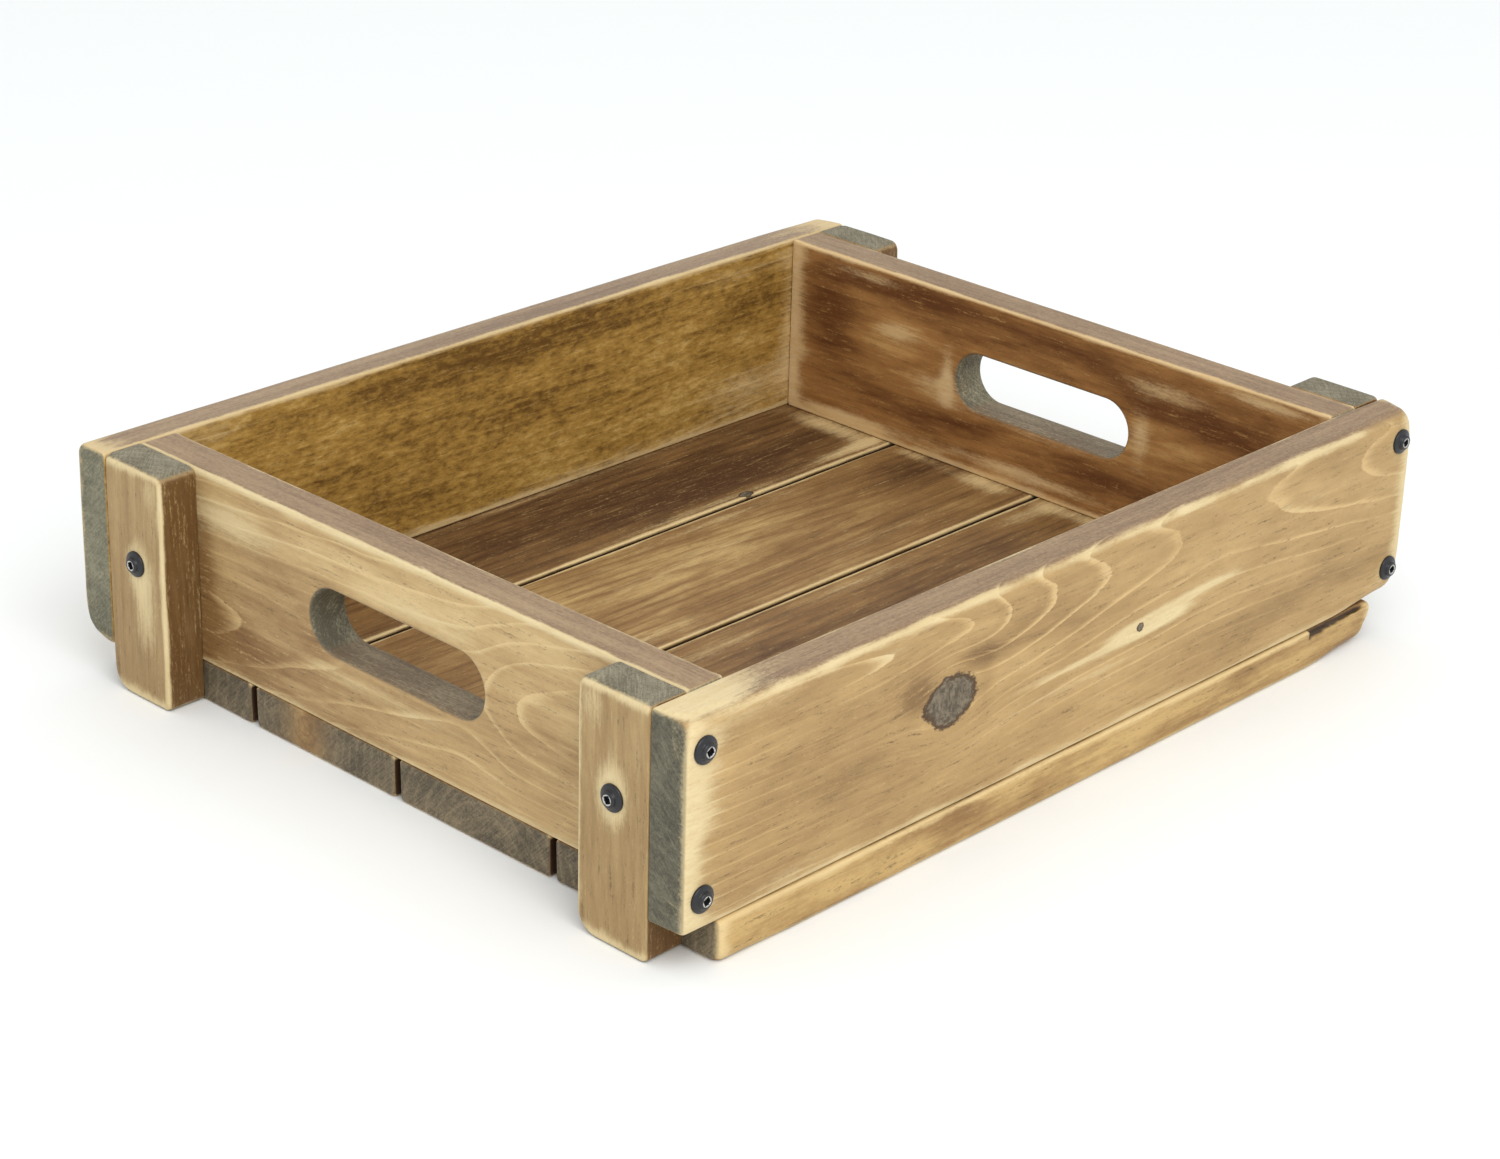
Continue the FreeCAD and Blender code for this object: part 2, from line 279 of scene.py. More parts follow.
def outline_ring(size, radius, cell):
    """A rectangle in a and b with small round corners, as places and outward directions, one each point."""
    flat = np.array([0.0, size[0], size[1]])
    ring, outward = section_ring(flat, np.full((1, 4), radius), cell)[:2]
    return ring[0], outward


def slot_wall(outline, size, hole_middle, hole_radius, half_pitch):
    """The point of the slot's wall that goes with each point of the outline: the outline is shrunk onto the
    slot's own box, and each point is then pushed from the nearest place of the slot's middle line out to
    the wall, which is a radius away."""
    shrunk = outline * 2 / size[:2] * (half_pitch + hole_radius, hole_radius)
    spine = np.stack([np.clip(shrunk[:, 0], -half_pitch, half_pitch), np.zeros(len(shrunk))], -1)
    away = shrunk - spine
    away /= np.linalg.norm(away, axis=1, keepdims=True)
    return spine + hole_radius * away + hole_middle, away


def slotted_surface(size, rim, plain, mouth, hole_middle, hole_radius, half_pitch, cell):
    """The closed surface of a board with a slot, as (points, normals, quads).

    Each loop has a straight run over a face, a quarter circle over the arris, a straight run through the
    thickness, a quarter circle, the other face, and the same through the slot. rim, plain and mouth are the
    radii of the upper arrises, the other ones and the slot's two mouths."""
    outline, outward = outline_ring(size, 2 * plain, cell)
    wall, away = slot_wall(outline, size, hole_middle, hole_radius, half_pitch)
    arris = plain + (rim - plain) * smooth_step(0.5, 1.0, outward[:, 1]) * smooth_step(
        size[0] / 2, size[0] / 2 - 8, np.abs(outline[:, 0]))
    half = size[2] / 2
    turn = np.linspace(0, math.pi / 2, HOLE_STEPS + 1)[:, None]
    share = (1 - np.cos(np.linspace(0, math.pi, FACE_STEPS + 1)))[:, None] / 2
    share = 0.5 * share + 0.5 * np.linspace(0, 1, FACE_STEPS + 1)[:, None]
    depth = np.linspace(1, -1, WALL_STEPS + 1)[:, None]
    rows = []

    def add(place, height, flat, lift):
        """Adds rows of a loop: places in a and b, heights in c, and the parts of the normal in each."""
        shape = np.broadcast(place[..., 0], height).shape
        rows.append(np.stack([place[..., 0], place[..., 1], height * np.ones(shape),
                              flat[..., 0], flat[..., 1], lift * np.ones(shape)], -1))

    def arc(edge, direction, radius, side, angles):
        """A quarter circle over an arris: in by r (1 - sin h), and r (1 - cos h) short of the face."""
        into = (radius * (1 - np.sin(angles)))[..., None] * direction
        height = side * (half - radius * (1 - np.cos(angles)))
        add(edge - into, height, np.sin(angles)[..., None] * direction, side * np.cos(angles))

    mouth_edge, outline_edge = wall + mouth * away, outline - arris[:, None] * outward
    none = np.zeros((FACE_STEPS + 1, len(outline), 2))
    between = mouth_edge + (outline_edge - mouth_edge) * share[..., None]
    flat_wall = np.ones((WALL_STEPS - 1, 1, 1))
    add(between[:-1], half, none[:-1], 1.0)
    arc(outline, outward, arris, 1, turn)
    add(outline * flat_wall, depth[1:-1] * (half - arris), outward * flat_wall, 0.0)
    arc(outline, outward, arris, -1, turn[::-1])
    add(between[::-1][1:], -half, none[1:], -1.0)
    arc(wall, -away, mouth, -1, turn[1:])
    add(wall * flat_wall, -depth[1:-1] * (half - mouth) * np.ones(len(wall)), -away * flat_wall, 0.0)
    arc(wall, -away, mouth, 1, turn[::-1][:-1])
    loops = np.concatenate(rows)
    count, around = loops.shape[:2]
    grid = np.arange(count * around).reshape(count, around)
    grid = np.concatenate([grid, grid[:, :1]], axis=1)
    grid = np.concatenate([grid, grid[:1]])
    points, normals = loops[..., :3].reshape(-1, 3), loops[..., 3:].reshape(-1, 3)
    quads = grid_quads(grid)
    if signed_volume(points, quads) < 0:
        quads = quads[:, ::-1]
    return points, normals, quads


# %% [markdown]
# ## Growth rings
# Softwood shows its yearly rings, and where a board is cut across them at a slant they make nested arches.
# A picture of arches would look printed on, and wouldn't match at the board's end. So we grow the rings in
# three dimensions: a ring number is the distance from the tree's pith, and the pith comes nearer to the
# board or goes further from it along its length. Arches on the face and arcs on the end follow by themselves.
# Near a knot the fibres part and close again, which is a small sideways move made before the rings.

# %% Fibres and rings
PARTING = 0.85  # how far the fibres open at the middle of a knot


def parted_fibres(points, knots):
    """Where each point's fibre would run in clear wood. Near a knot at (ka, kb) the distance b - kb is
    multiplied by 1 - PARTING exp(-(a - ka)^2 / la^2 - (b - kb)^2 / lb^2), so the fibres open round it."""
    parted = points.copy()
    for ka, kb, la, lb, _ in knots:
        near = np.exp(-((points[:, 0] - ka) / la) ** 2 - ((parted[:, 1] - kb) / lb) ** 2)
        parted[:, 1] = kb + (parted[:, 1] - kb) * (1 - PARTING * near)
    return parted


def ring_number(parted, grain, seed):
    """The number of rings from the pith: the length of ((b - pith_b) / wide, depth), in ring widths, where
    depth goes smoothly through the heights given along the board, and changes with c through the board.
    Noise stretched along the fibres makes the rings waver."""
    places, heights = np.array(grain["heights"], float).T
    fine = np.linspace(places[0] - 40, places[-1] + 40, 400)
    bell = np.exp(-np.linspace(-2, 2, 41) ** 2)
    even = np.convolve(np.pad(np.interp(fine, places, heights), 20, "edge"), bell / bell.sum(), "valid")
    depth = np.interp(parted[:, 0], fine, even)
    depth = depth + grain["inward"] * (grain["face"] - parted[:, 2]) / grain["wide"]
    across = (parted[:, 1] - grain["pith_b"] - grain.get("lean", 0) * parted[:, 0]) / grain["wide"]
    waver = smooth_noise(parted, (55, 13, 13), seed) + 0.4 * smooth_noise(parted, (17, 6, 6), seed + 1)
    return np.hypot(across, depth) + grain.get("waver", 0.3) * waver


# %% [markdown]
# ## Where a board was sanded, marked and stained
# The maker sanded every edge through the stain, more on the edges that hands meet. A bevel node could find
# edges while rendering, but it knows nothing of which edge, and an exported model loses it. Instead the
# distance to each of a board's twelve arrises is known from its sizes, so each arris gets its own pale band,
# as wide on either face as we like. Knots, screws and darker patches are soft ovals.

# %% Bands and ovals
def gap_to(points, size, face):
    """How far each point is from one of the six faces, such as "+b"."""
    axis = "abc".index(face[1])
    return size[axis] / 2 - (1 if face[0] == "+" else -1) * points[:, axis]


def sanded_bands(points, size, bands, seed):
    """How much stain was sanded off. A band is (one face, other face, width on each, amount): it falls from
    the arris as exp(-d^1.6), where d^2 is the sum over the two faces of (the gap to one face over the band's
    width on the other)^2, and a noise makes it wander."""
    wander = 0.26 * smooth_noise(points, (31, 11, 11), seed)
    wander = wander + 0.22 * smooth_noise(points, (9, 4, 4), seed + 1)
    worn = np.zeros(len(points))
    for first, second, on_first, on_second, amount in bands:
        d = np.hypot(gap_to(points, size, first) / on_second, gap_to(points, size, second) / on_first)
        worn = np.maximum(worn, amount * np.exp(-(d * (1 + wander)) ** 1.6))
    return worn


def ovals(points, spots):
    """The sum of soft ovals, each (a, b, its half length, its half width, amount, side). An oval is
    amount times exp(-x^2 - y^2). Side 1 is only on the outer half of the board, -1 only on the inner."""
    total = np.zeros(len(points))
    for a, b, long, wide, amount, side in spots:
        near = np.exp(-((points[:, 0] - a) / long) ** 2 - ((points[:, 1] - b) / wide) ** 2)
        total += amount * near * smooth_step(-2.0, 2.0, side * points[:, 2]) if side else amount * near
    return total


# %% [markdown]
# ## A splinter torn out
# One floor board lost a long splinter from its edge when it was handled. A separate dent mesh would have to
# be joined in without a seam, so the surface's own points are moved inwards there instead, and the scar
# is made darker, with no sanding.

# %% Scars
def scar_depth(points, size, scars):
    """How deep a splinter tore out of the -b edge near its upper arris. A scar is (a0, a1, c0, c1, depth):
    it opens at a0, and its lower side goes straight from height c0 to c1, where it runs out."""
    depth = np.zeros(len(points))
    for a0, a1, c0, c1, deep in scars:
        share = (points[:, 0] - a0) / (a1 - a0)
        ragged = 0.5 * smooth_noise(points, (4, 4, 4), 5)
        above = smooth_step(-0.6, 0.6, points[:, 2] + ragged - c0 - (c1 - c0) * share)
        ends = smooth_step(0, 0.05, share) * smooth_step(1.0, 0.85, share)
        depth += deep * above * ends * smooth_step(3.0, 1.0, gap_to(points, size, "-b"))
    return depth


# %% [markdown]
# ## From points to a piece
# Each point's numbers go into the mesh as attributes: the fibre place, the ring number, and how sanded,
# dark, soiled or darkened by painted shade, cross-cut and knotty the wood is there. They travel with the
# surface, so the finish can't slide, and they are smooth, so the finish adds the fine detail itself.
#
# Each board's wood is described by a dictionary. It always has a seed, the grain and the sanded bands, and it
# may have these as well:
# - knots, halos of rubbed wood, darker or paler tones, soil and dents, all as ovals;
# - figure: how plain the rings show, and ovals where they show more;
# - crown: how far the upper edge has the colour of worn, handled wood;
# - bored: the board has the hand hole;
# - edge_tone and side_tone_and_shade: tone of the -b edge, and of both edges, which darkens the cleats' sides
#   partly as stain and partly as painted shade;
# - gap_side: which edge faces a gap in the floor and gets painted shade down in it, with 0 for both;
# - stained_ends: ovals where the end keeps its stain;
# - mottled_side: the one side, 1 outer or -1 inner, that the finish's mottle is on, else both;
# - scars.

# %% Make a mesh piece
def add_attribute(mesh, name, kind, values):
    """Stores one value or vector for each vertex."""
    layer = mesh.attributes.new(name, kind, "POINT")
    layer.data.foreach_set("value" if kind == "FLOAT" else "vector", values.astype(np.float32).ravel())


def mesh_piece(name, points, quads, material):
    """A smooth-shaded object at the origin from points in millimetres and quads."""
    mesh = bpy.data.meshes.new(name)
    mesh.vertices.add(len(points))
    mesh.vertices.foreach_set("co", (points * MM).astype(np.float32).ravel())
    mesh.loops.add(quads.size)
    mesh.loops.foreach_set("vertex_index", quads.astype(np.int32).ravel())
    mesh.polygons.add(len(quads))
    mesh.polygons.foreach_set("loop_start", np.arange(0, quads.size, 4, dtype=np.int32))
    mesh.polygons.foreach_set("loop_total", np.full(len(quads), 4, np.int32))
    mesh.update(calc_edges=True)
    mesh.validate()
    mesh.shade_smooth()
    mesh.materials.append(material)
    piece = bpy.data.objects.new(name, mesh)
    bpy.context.scene.collection.objects.link(piece)
    return piece


# %% What the wood is like at each point
KNOT_CORE = 0.62  # size of a knot's dark core, of the reach of its bent fibres
GAP_SHADE = 1.4  # amount of painted shade down in a gap of the floor
WAVE_DEPTH = 0.09  # mm, half the depth of the shallow waves that sanding leaves
BOARD_SHIFT = 500.0  # mm between the places where two boards read the finish's noise


def bored_wall(points):
    """1 on the wall of the hand hole and 0 away from it: a step of the distance from the slot's middle line,
    less the slot's radius."""
    away = points[:, 0] - np.clip(points[:, 0], -HOLE_HALF_PITCH, HOLE_HALF_PITCH)
    from_wall = np.hypot(away, points[:, 1] - HOLE_RISE) - HOLE_RADIUS
    return smooth_step(1.3, 0.3, from_wall)


def cross_cut_share(points, normals, wood):
    """How far the surface is cut across the fibres: a step of how much it faces along a, and at least half
    on a bored wall, less where an end kept its stain."""
    share = smooth_step(0.55, 0.85, np.abs(normals[:, 0]))
    if "bored" in wood:
        facing = smooth_step(0.15, 0.5, np.abs(normals[:, 0]))
        share = np.maximum(share, bored_wall(points) * (0.5 + 0.5 * facing))
    return share * (1 - ovals(points, wood.get("stained_ends", [])))


def tone_at(points, normals, parted, wood):
    """How pale (above 0) or dark (below 0) the wood is: ovals, slow noise along the fibres, and the tones of
    the edges and of the bored wall. The darker tone of both edges is partly stain and partly painted shade."""
    tone = ovals(points, wood.get("tones", [])) + 0.25 * smooth_noise(parted, (70, 22, 22), wood["seed"] + 4)
    tone += wood.get("edge_tone", 0.0) * smooth_step(0.3, 0.9, -normals[:, 1])
    # both edges darker: partly stain and partly painted shade
    tone += wood.get("side_tone_and_shade", 0.0) * smooth_step(0.75, 0.98, np.abs(normals[:, 1]))
    if "bored" in wood:
        tone -= 0.2 * bored_wall(points)
    return tone


def soil_and_shade_at(points, normals, size, wood):
    """How much darker the wood is made: dirt as ovals, and painted shade on the edges that face a gap, below
    the upper arris.
    """
    soil_and_shade = ovals(points, wood.get("soil_and_shade", []))
    if "gap_side" in wood:
        facing = np.abs(normals[:, 1]) if wood["gap_side"] == 0 else wood["gap_side"] * normals[:, 1]
        # painted shade on the edges that face a gap in the floor
        soil_and_shade += GAP_SHADE * smooth_step(0.7, 0.95, facing) * smooth_step(0.8, 2.4, gap_to(points, size, "+c"))
    return soil_and_shade


# %% Make a board
def board_piece(name, node, place, surface, wood, material):
    """One board: its surface gets its relief and its attributes, and stands for its CAD node.

    The relief only goes inwards: shallow waves left by sanding, and the depth of every dent and scar."""
    points, normals, quads = surface
    seed, size = wood["seed"], place.size
    knots = wood.get("knots", [])
    parted = parted_fibres(points, knots)
    cores = [(a, b, KNOT_CORE * la, KNOT_CORE * lb, 1.3, side) for a, b, la, lb, side in knots]
    scars = scar_depth(points, size, wood.get("scars", []))
    worn = sanded_bands(points, size, wood["bands"], seed + 2)
    worn = np.maximum(worn, ovals(points, wood.get("halos", []))) * (1 - np.clip(scars, 0, 1))
    tone = tone_at(points, normals, parted, wood)
    # darkening: dirt ovals, painted shade down the floor's gaps, and the torn scars made darker
    soil_and_shade = soil_and_shade_at(points, normals, size, wood) + 0.8 * np.minimum(scars, 1.2)
    crown = smooth_step(0.6, 0.95, normals[:, 1]) * wood.get("crown", 0.0)
    if "bored" in wood:
        crown = np.maximum(crown, bored_wall(points))
    plain_figure, figured = wood.get("figure", (0.35, []))
    mottled = np.ones(len(points))
    if "mottled_side" in wood:
        mottled = smooth_step(-2.0, 2.0, wood["mottled_side"] * points[:, 2])
    waves = WAVE_DEPTH * (1 + smooth_noise(points, (30, 14, 14), seed + 5))
    depth = waves + scars + ovals(points, wood.get("dents", []))
    moved = points - normals * depth[:, None]
    piece = mesh_piece(name, place.world(moved), quads, material)
    mesh = piece.data
    kinds = [cross_cut_share(points, normals, wood), ovals(points, cores), crown]
    add_attribute(mesh, "fibre", "FLOAT_VECTOR", parted + BOARD_SHIFT * (seed % 7))
    add_attribute(mesh, "ring", "FLOAT", ring_number(parted, wood["grain"], seed))
    add_attribute(mesh, "figure", "FLOAT", np.clip(plain_figure + ovals(points, figured), 0, 1.3))
    add_attribute(mesh, "finish", "FLOAT_VECTOR", np.stack([worn, tone, soil_and_shade], -1))
    add_attribute(mesh, "kind", "FLOAT_VECTOR", np.stack(kinds, -1))
    add_attribute(mesh, "mottled", "FLOAT", mottled)
    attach(piece, "root")
    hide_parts(node)
    print(f"{name}: {2 * len(quads)} triangles, {signed_volume(moved, quads) / 1000:.0f} cm3")
    return piece


# %% [markdown]
# ## Wires between nodes
# A material is a net of small nodes, and wiring each by hand hides the sums they do. This class lets us
# write the sums as sums: adding or multiplying two wires places a Math node and joins it up.

# %% Wires
class Wire:
    """A number or colour on its way through a material."""

    def __init__(self, tree, socket):
        self.tree, self.socket = tree, socket

    def node(self, kind, values, output=0, **settings):
        """Places a node, sets it, and joins wires or plain values to its inputs by their numbers."""
        placed = self.tree.nodes.new(kind)
        for key, value in settings.items():
            setattr(placed, key, value)
        for key, value in values.items():
            if isinstance(value, Wire):
                self.tree.links.new(value.socket, placed.inputs[key])
            else:
                placed.inputs[key].default_value = value
        return Wire(self.tree, placed.outputs[output])

    def math(self, operation, *others):
        return self.node("ShaderNodeMath", dict(enumerate((self, *others))), operation=operation)

    def __add__(self, other):
        return self.math("ADD", other)

    def __sub__(self, other):
        return self.math("SUBTRACT", other)

    def __mul__(self, other):
        return self.math("MULTIPLY", other)

    def least(self, other):
        return self.math("MINIMUM", other)

    def step(self, low, high, start=0.0, end=1.0):
        """Goes smoothly from start to end as this goes from low to high."""
        values = {0: self, 1: low, 2: high, 3: start, 4: end}
        return self.node("ShaderNodeMapRange", values, interpolation_type="SMOOTHSTEP")

    def split(self):
        """The three parts of a vector."""
        parts = self.node("ShaderNodeSeparateXYZ", {0: self}).socket.node
        return [Wire(self.tree, socket) for socket in parts.outputs]

    def noise(self, stretch, detail=2.0, roughness=0.5):
        """Noise from -1 to 1 at this place, whose cells are 1 / stretch long."""
        scaled = self.node("ShaderNodeVectorMath", {0: self, 1: stretch}, operation="MULTIPLY")
        values = {"Vector": scaled, "Scale": 1.0, "Detail": detail, "Roughness": roughness}
        return self.node("ShaderNodeTexNoise", values).math("MULTIPLY_ADD", 2.4, -1.2)

    def blend(self, first, second):
        """A colour that is the first where this is 0 and the second where it is 1."""
        return self.node("ShaderNodeMix", {0: self, 6: first, 7: second}, output=2, data_type="RGBA")


def attribute(tree, name, output):
    """The wire of a mesh attribute: output "Vector" or "Fac"."""
    placed = tree.nodes.new("ShaderNodeAttribute")
    placed.attribute_name = name
    return Wire(tree, placed.outputs[output])


def rgb(red, green, blue):
    return (red, green, blue, 1.0)


def new_material(name):
    """An empty material, its tree and its Principled shader."""
    material = bpy.data.materials.new(name)
    material.use_nodes = True
    return material, material.node_tree, material.node_tree.nodes["Principled BSDF"]


# %% [markdown]
# ## The wood finish
# One recipe serves all the boards, and a palette of colours and amounts makes each its own. The layers go on
# in the order the maker had them: bare wood with fibres and rings, stain that soaked in unevenly, edges
# sanded back to bare wood, grey cross-cut ends with saw marks, knots, and dirt in the joints. The dark down
# in the floor's gaps is painted shade. Bump is kept for what is finer than the mesh: fibres, proud ring lines
# and sanding scratches.

# %% Wood
def wood_finish(name, palette):
    """Stained and sanded softwood. palette gives the colours of the stain from dark to light, the darkest
    cracks, the bare wood, the upper edge, the ends and the knots, and how strong each kind of detail is."""
    material, tree, shader = new_material(name)
    fibre, ring = attribute(tree, "fibre", "Vector"), attribute(tree, "ring", "Fac")
    figure = attribute(tree, "figure", "Fac")
    worn, tone, soil_and_shade = attribute(tree, "finish", "Vector").split()
    cross_cut, knotty, crown = attribute(tree, "kind", "Vector").split()
    # noises, from hair lines to clouds, all stretched along the fibres
    fine = fibre.noise((0.045, 0.85, 0.85), 6.0, 0.82)
    streak = fibre.noise((0.010, 0.24, 0.24), 5.0, 0.68)
    blotch = fibre.noise((0.028, 0.06, 0.06), 3.0, 0.6)
    mottle = fibre.noise((0.17, 0.36, 0.36), 3.0, 0.62) * attribute(tree, "mottled", "Fac")
    pores = fibre.noise((0.42, 0.95, 0.95), 4.0, 0.85)
    scratch = fibre.noise((0.35, 0.9, 0.9), 3.0, 0.7)
    cloud = fibre.noise((0.022, 0.075, 0.075), 4.0, 0.62)
    hair = fibre.noise((0.055, 0.62, 0.62), 2.0, 0.6)
    # growth rings: a dark late-wood band, then a thin pale line at its end
    phase = (ring + fine * 0.045 + streak * 0.05 + pores * 0.025).math("FRACT")
    rise = phase.step(0.60, 0.97)
    line = rise * rise * rise * phase.step(0.97, 1.0, 1.0, 0.0) * figure * 1.3
    late = phase.step(0.50, 0.95) * phase.step(0.94, 1.0, 1.0, 0.0)
    # stain, from dark to pale, then its grain lines and dark specks
    shade = (tone * 0.5 + streak * palette["streaks"] + blotch * 0.18 + fine * palette["fibres"]
             + pores * 0.30 + mottle * palette["mottle"] + line * palette["pale_rings"]
             - late * palette["dark_rings"] + 0.5)
    shade = shade + cloud * palette["clouds"] + hair * 0.24
    stain = shade.step(-0.28, 0.60).blend(palette["dark"], palette["mid"])
    stain = shade.step(0.42, 1.10).blend(stain, palette["pale"])
    grain = hair * 0.7 + fine * 0.5 + pores * 0.8
    stain = grain.step(0.06, 0.70, 0.0, palette["grain"]).blend(stain, palette["deep"])
    stain = grain.step(-0.06, -0.70, 0.0, 0.8 * palette["grain"]).blend(stain, palette["pale"])
    # the handled upper edge and the bored wall
    rim = (streak * 0.4 + fine * 0.5 + pores * 0.6 + tone * 0.4 + 0.5).step(0.0, 1.0).blend(
        palette["rim_dark"], palette["rim"])
    stain = crown.blend(stain, rim)
    speck = (pores + mottle * palette["mottle"]).step(0.42, 0.95)
    stain = (speck * palette["specks"]).blend(stain, palette["deep"])
    # bare wood where the stain was rubbed through
    rub = (worn + fine * 0.22 + scratch * 0.16 + streak * 0.12 + line * palette["pale_rings"] * 0.5
           + pores * 0.25 + hair * 0.20 + cloud * 0.15 - 0.06).step(0.24, 0.90)
    bare = scratch * 0.25 + streak * 0.3 + hair * 0.3 + late * 0.10 + pores * 0.3 + 0.38
    bare = bare.step(0.0, 1.0).blend(palette["bare"], palette["bare_shade"])
    colour = (rub * palette["sanding"]).blend(stain, bare)
    # cross-cut ends with saw marks
    _, across, depth = fibre.split()
    diagonal = across.node("ShaderNodeCombineXYZ", {0: across + depth, 1: across - depth})
    saw = diagonal.noise((1.1, 0.05, 1.0), 4.0, 0.7)
    end_shade = (saw * 0.50 + late * palette["end_rings"] + blotch * 0.45 + pores * 0.60 + scratch * 0.3
                 + tone * 0.3 + 0.38)
    ends = end_shade.step(0.0, 1.0).blend(palette["end_dark"], palette["end_pale"])
    ends = (rub * palette["end_sanding"]).blend(ends, bare)
    colour = cross_cut.blend(colour, ends)
    # knots
    knot_core = knotty + blotch * 0.34 + mottle * 0.22 + scratch * 0.14 + pores * 0.10
    gnarl = (scratch * 0.8 + pores * 1.0 + mottle * 0.4 + 0.45).step(0.1, 1.0).blend(
        palette["knot"], palette["knot_pale"])
    gnarl = knot_core.step(0.62, 0.80).blend(palette["deep"], gnarl)
    colour = knot_core.step(0.44, 0.58, 0.0, 0.94).blend(colour, gnarl)
    # dirt, and painted shade down the floor's gaps
    dirt_and_shade = (soil_and_shade + scratch * 0.3 * soil_and_shade + fine * 0.2 * soil_and_shade).step(0.15, 0.9, 0.0, 0.92)
    colour = dirt_and_shade.blend(colour, palette["deep"])
    tree.links.new(colour.socket, shader.inputs["Base Color"])
    # gloss and bump
    rough = (fine * 0.05 + scratch * 0.06 + rub * 0.10 + cross_cut * 0.14 + palette["roughness"]).least(1.0)
    tree.links.new(rough.socket, shader.inputs["Roughness"])
    height = (fine * 0.35 + late * 0.25 + scratch * 0.25 + pores * 0.3 + saw * cross_cut * 1.2
              + mottle * palette["mottle"] * 1.6 - speck * 0.3)
    bump = tree.nodes.new("ShaderNodeBump")
    bump.inputs["Strength"].default_value = 0.4
    bump.inputs["Distance"].default_value = 0.28 * MM
    tree.links.new(height.socket, bump.inputs["Height"])
    tree.links.new(bump.outputs["Normal"], shader.inputs["Normal"])
    shader.inputs["Specular IOR Level"].default_value = palette["gloss"]
    return material


TAN = {"dark": rgb(0.22, 0.125, 0.046), "mid": rgb(0.43, 0.275, 0.110), "pale": rgb(0.60, 0.41, 0.185),
       "deep": rgb(0.05, 0.024, 0.009), "bare": rgb(0.73, 0.60, 0.35), "bare_shade": rgb(0.58, 0.43, 0.21),
       "rim_dark": rgb(0.19, 0.115, 0.063), "rim": rgb(0.38, 0.26, 0.145),
       "end_dark": rgb(0.105, 0.092, 0.060), "end_pale": rgb(0.42, 0.38, 0.25),
       "knot": rgb(0.055, 0.045, 0.032), "knot_pale": rgb(0.185, 0.15, 0.105),
       "streaks": 0.26, "fibres": 0.26, "mottle": 0.08, "pale_rings": 0.7, "dark_rings": 0.12,
       "specks": 0.4, "grain": 0.75, "clouds": 0.26, "end_rings": 0.12, "sanding": 0.95, "end_sanding": 0.5,
       "roughness": 0.52, "gloss": 0.3}


def palette(**changes):
    """The tan palette with some of its entries changed."""
    return {**TAN, **changes}


print("tan palette:", len(TAN), "entries")

# %% [markdown]
# ## The side boards
# The two long boards are screwed on last, so their ends stand free and were rounded most. Each corner was
# sanded by hand and came out differently: the upper ones like a ball, the lower ones longer. The front
# board has one big knot with the fibres parting round it, and arches that point to the right.

# %% Front side board
front_place = Place("front_side_board", "+x", "-y")
print("front board lies in x, z:", front_place.middle.round(2))
SIDE_CELL = 1.6  # size of a face on a long board
SCREW_A, SCREW_B = 220.5, 30.75  # a side board's screws, from its middle
SIDE_SCREWS = [(side * SCREW_A, height) for side in (-1, 1) for height in (-SCREW_B, SCREW_B)]


def screw_marks(places, side=1):
    """The halo of rubbed wood and the dent round each screw head."""
    halos = [(a, b, 11.0, 9.5, 0.7, side) for a, b in places]
    dents = [(a, b, 6.6, 6.6, 0.42, side) for a, b in places]
    return halos, dents


front_halos, front_dents = screw_marks(SIDE_SCREWS)
FRONT_WOOD = {
    "seed": 11, "crown": 1.0,
    "grain": {"pith_b": 32.0, "wide": 5.8, "face": 9.5, "inward": -1.0, "lean": -0.02, "waver": 0.16,
              "heights": [(-240, -0.8), (-119, 1.0), (-66, 2.0), (-50, 3.0), (-20, 4.0), (12, 5.0),
                          (66, 6.0), (95, 6.3), (123, 6.0), (188, 5.0), (240, 4.0)]},
    "figure": (0.16, [(-14, 26, 74, 26, 0.95, 1), (165, 20, 52, 24, 0.8, 1), (-119, 36, 22, 10, 0.7, 1),
                      (60, -14, 90, 12, 0.35, 1), (-200, -10, 40, 40, 0.3, 1)]),
    "knots": [(-83, 4.5, 25, 17, 1), (36.6, -2, 4.6, 3.4, 1)],
    "bands": [("+b", "+c", 2.2, 3.4, 1.25), ("-b", "+c", 4, 4.0, 1.1), ("-a", "+c", 3, 14, 1.1),
              ("+a", "+c", 5, 11, 1.1), ("+b", "-c", 2.0, 3, 0.9), ("-b", "-c", 2, 3, 0.8),
              ("-a", "+b", 2, 52, 1.1), ("+a", "+b", 3, 8, 0.9)],
    "halos": front_halos + [(-119, 36, 26, 4, 0.42, 1), (44, -2.5, 28, 4.2, 1.7, 1), (84, 3, 30, 2.6, 0.9, 1),
                            (-10, -6, 40, 2.2, 0.8, 1), (-190, 38, 40, 9, 0.5, 1), (158, 22, 30, 5, 0.4, 1),
                            (0, -14, 70, 2.4, 0.5, 1), (-175, -38, 40, 6, 0.5, 1), (-20, -41, 50, 3, 0.4, 1)],
    "tones": [(-160, -6, 60, 34, -0.6, 1), (120, -26, 90, 9, -0.5, 1), (20, 8, 34, 8, -0.4, 1),
              (-40, 22, 34, 9, -0.5, 1), (-103, 13, 9, 7, -2.0, 1), (-66, 18, 11, 5, -1.3, 1),
              (-62, 4, 5, 12, -0.5, 1), (60, 20, 60, 22, 0.15, 1), (165, 0, 50, 40, -0.18, 1),
              (120, -22, 60, 12, -0.2, 1)],
    "dents": front_dents + [(-83, 5, 15, 9, 0.12, 1)],
}
tan_wood = wood_finish("tan_stained_wood", palette(clouds=0.36, end_dark=rgb(0.062, 0.057, 0.038),
                                                   end_pale=rgb(0.19, 0.175, 0.118)))
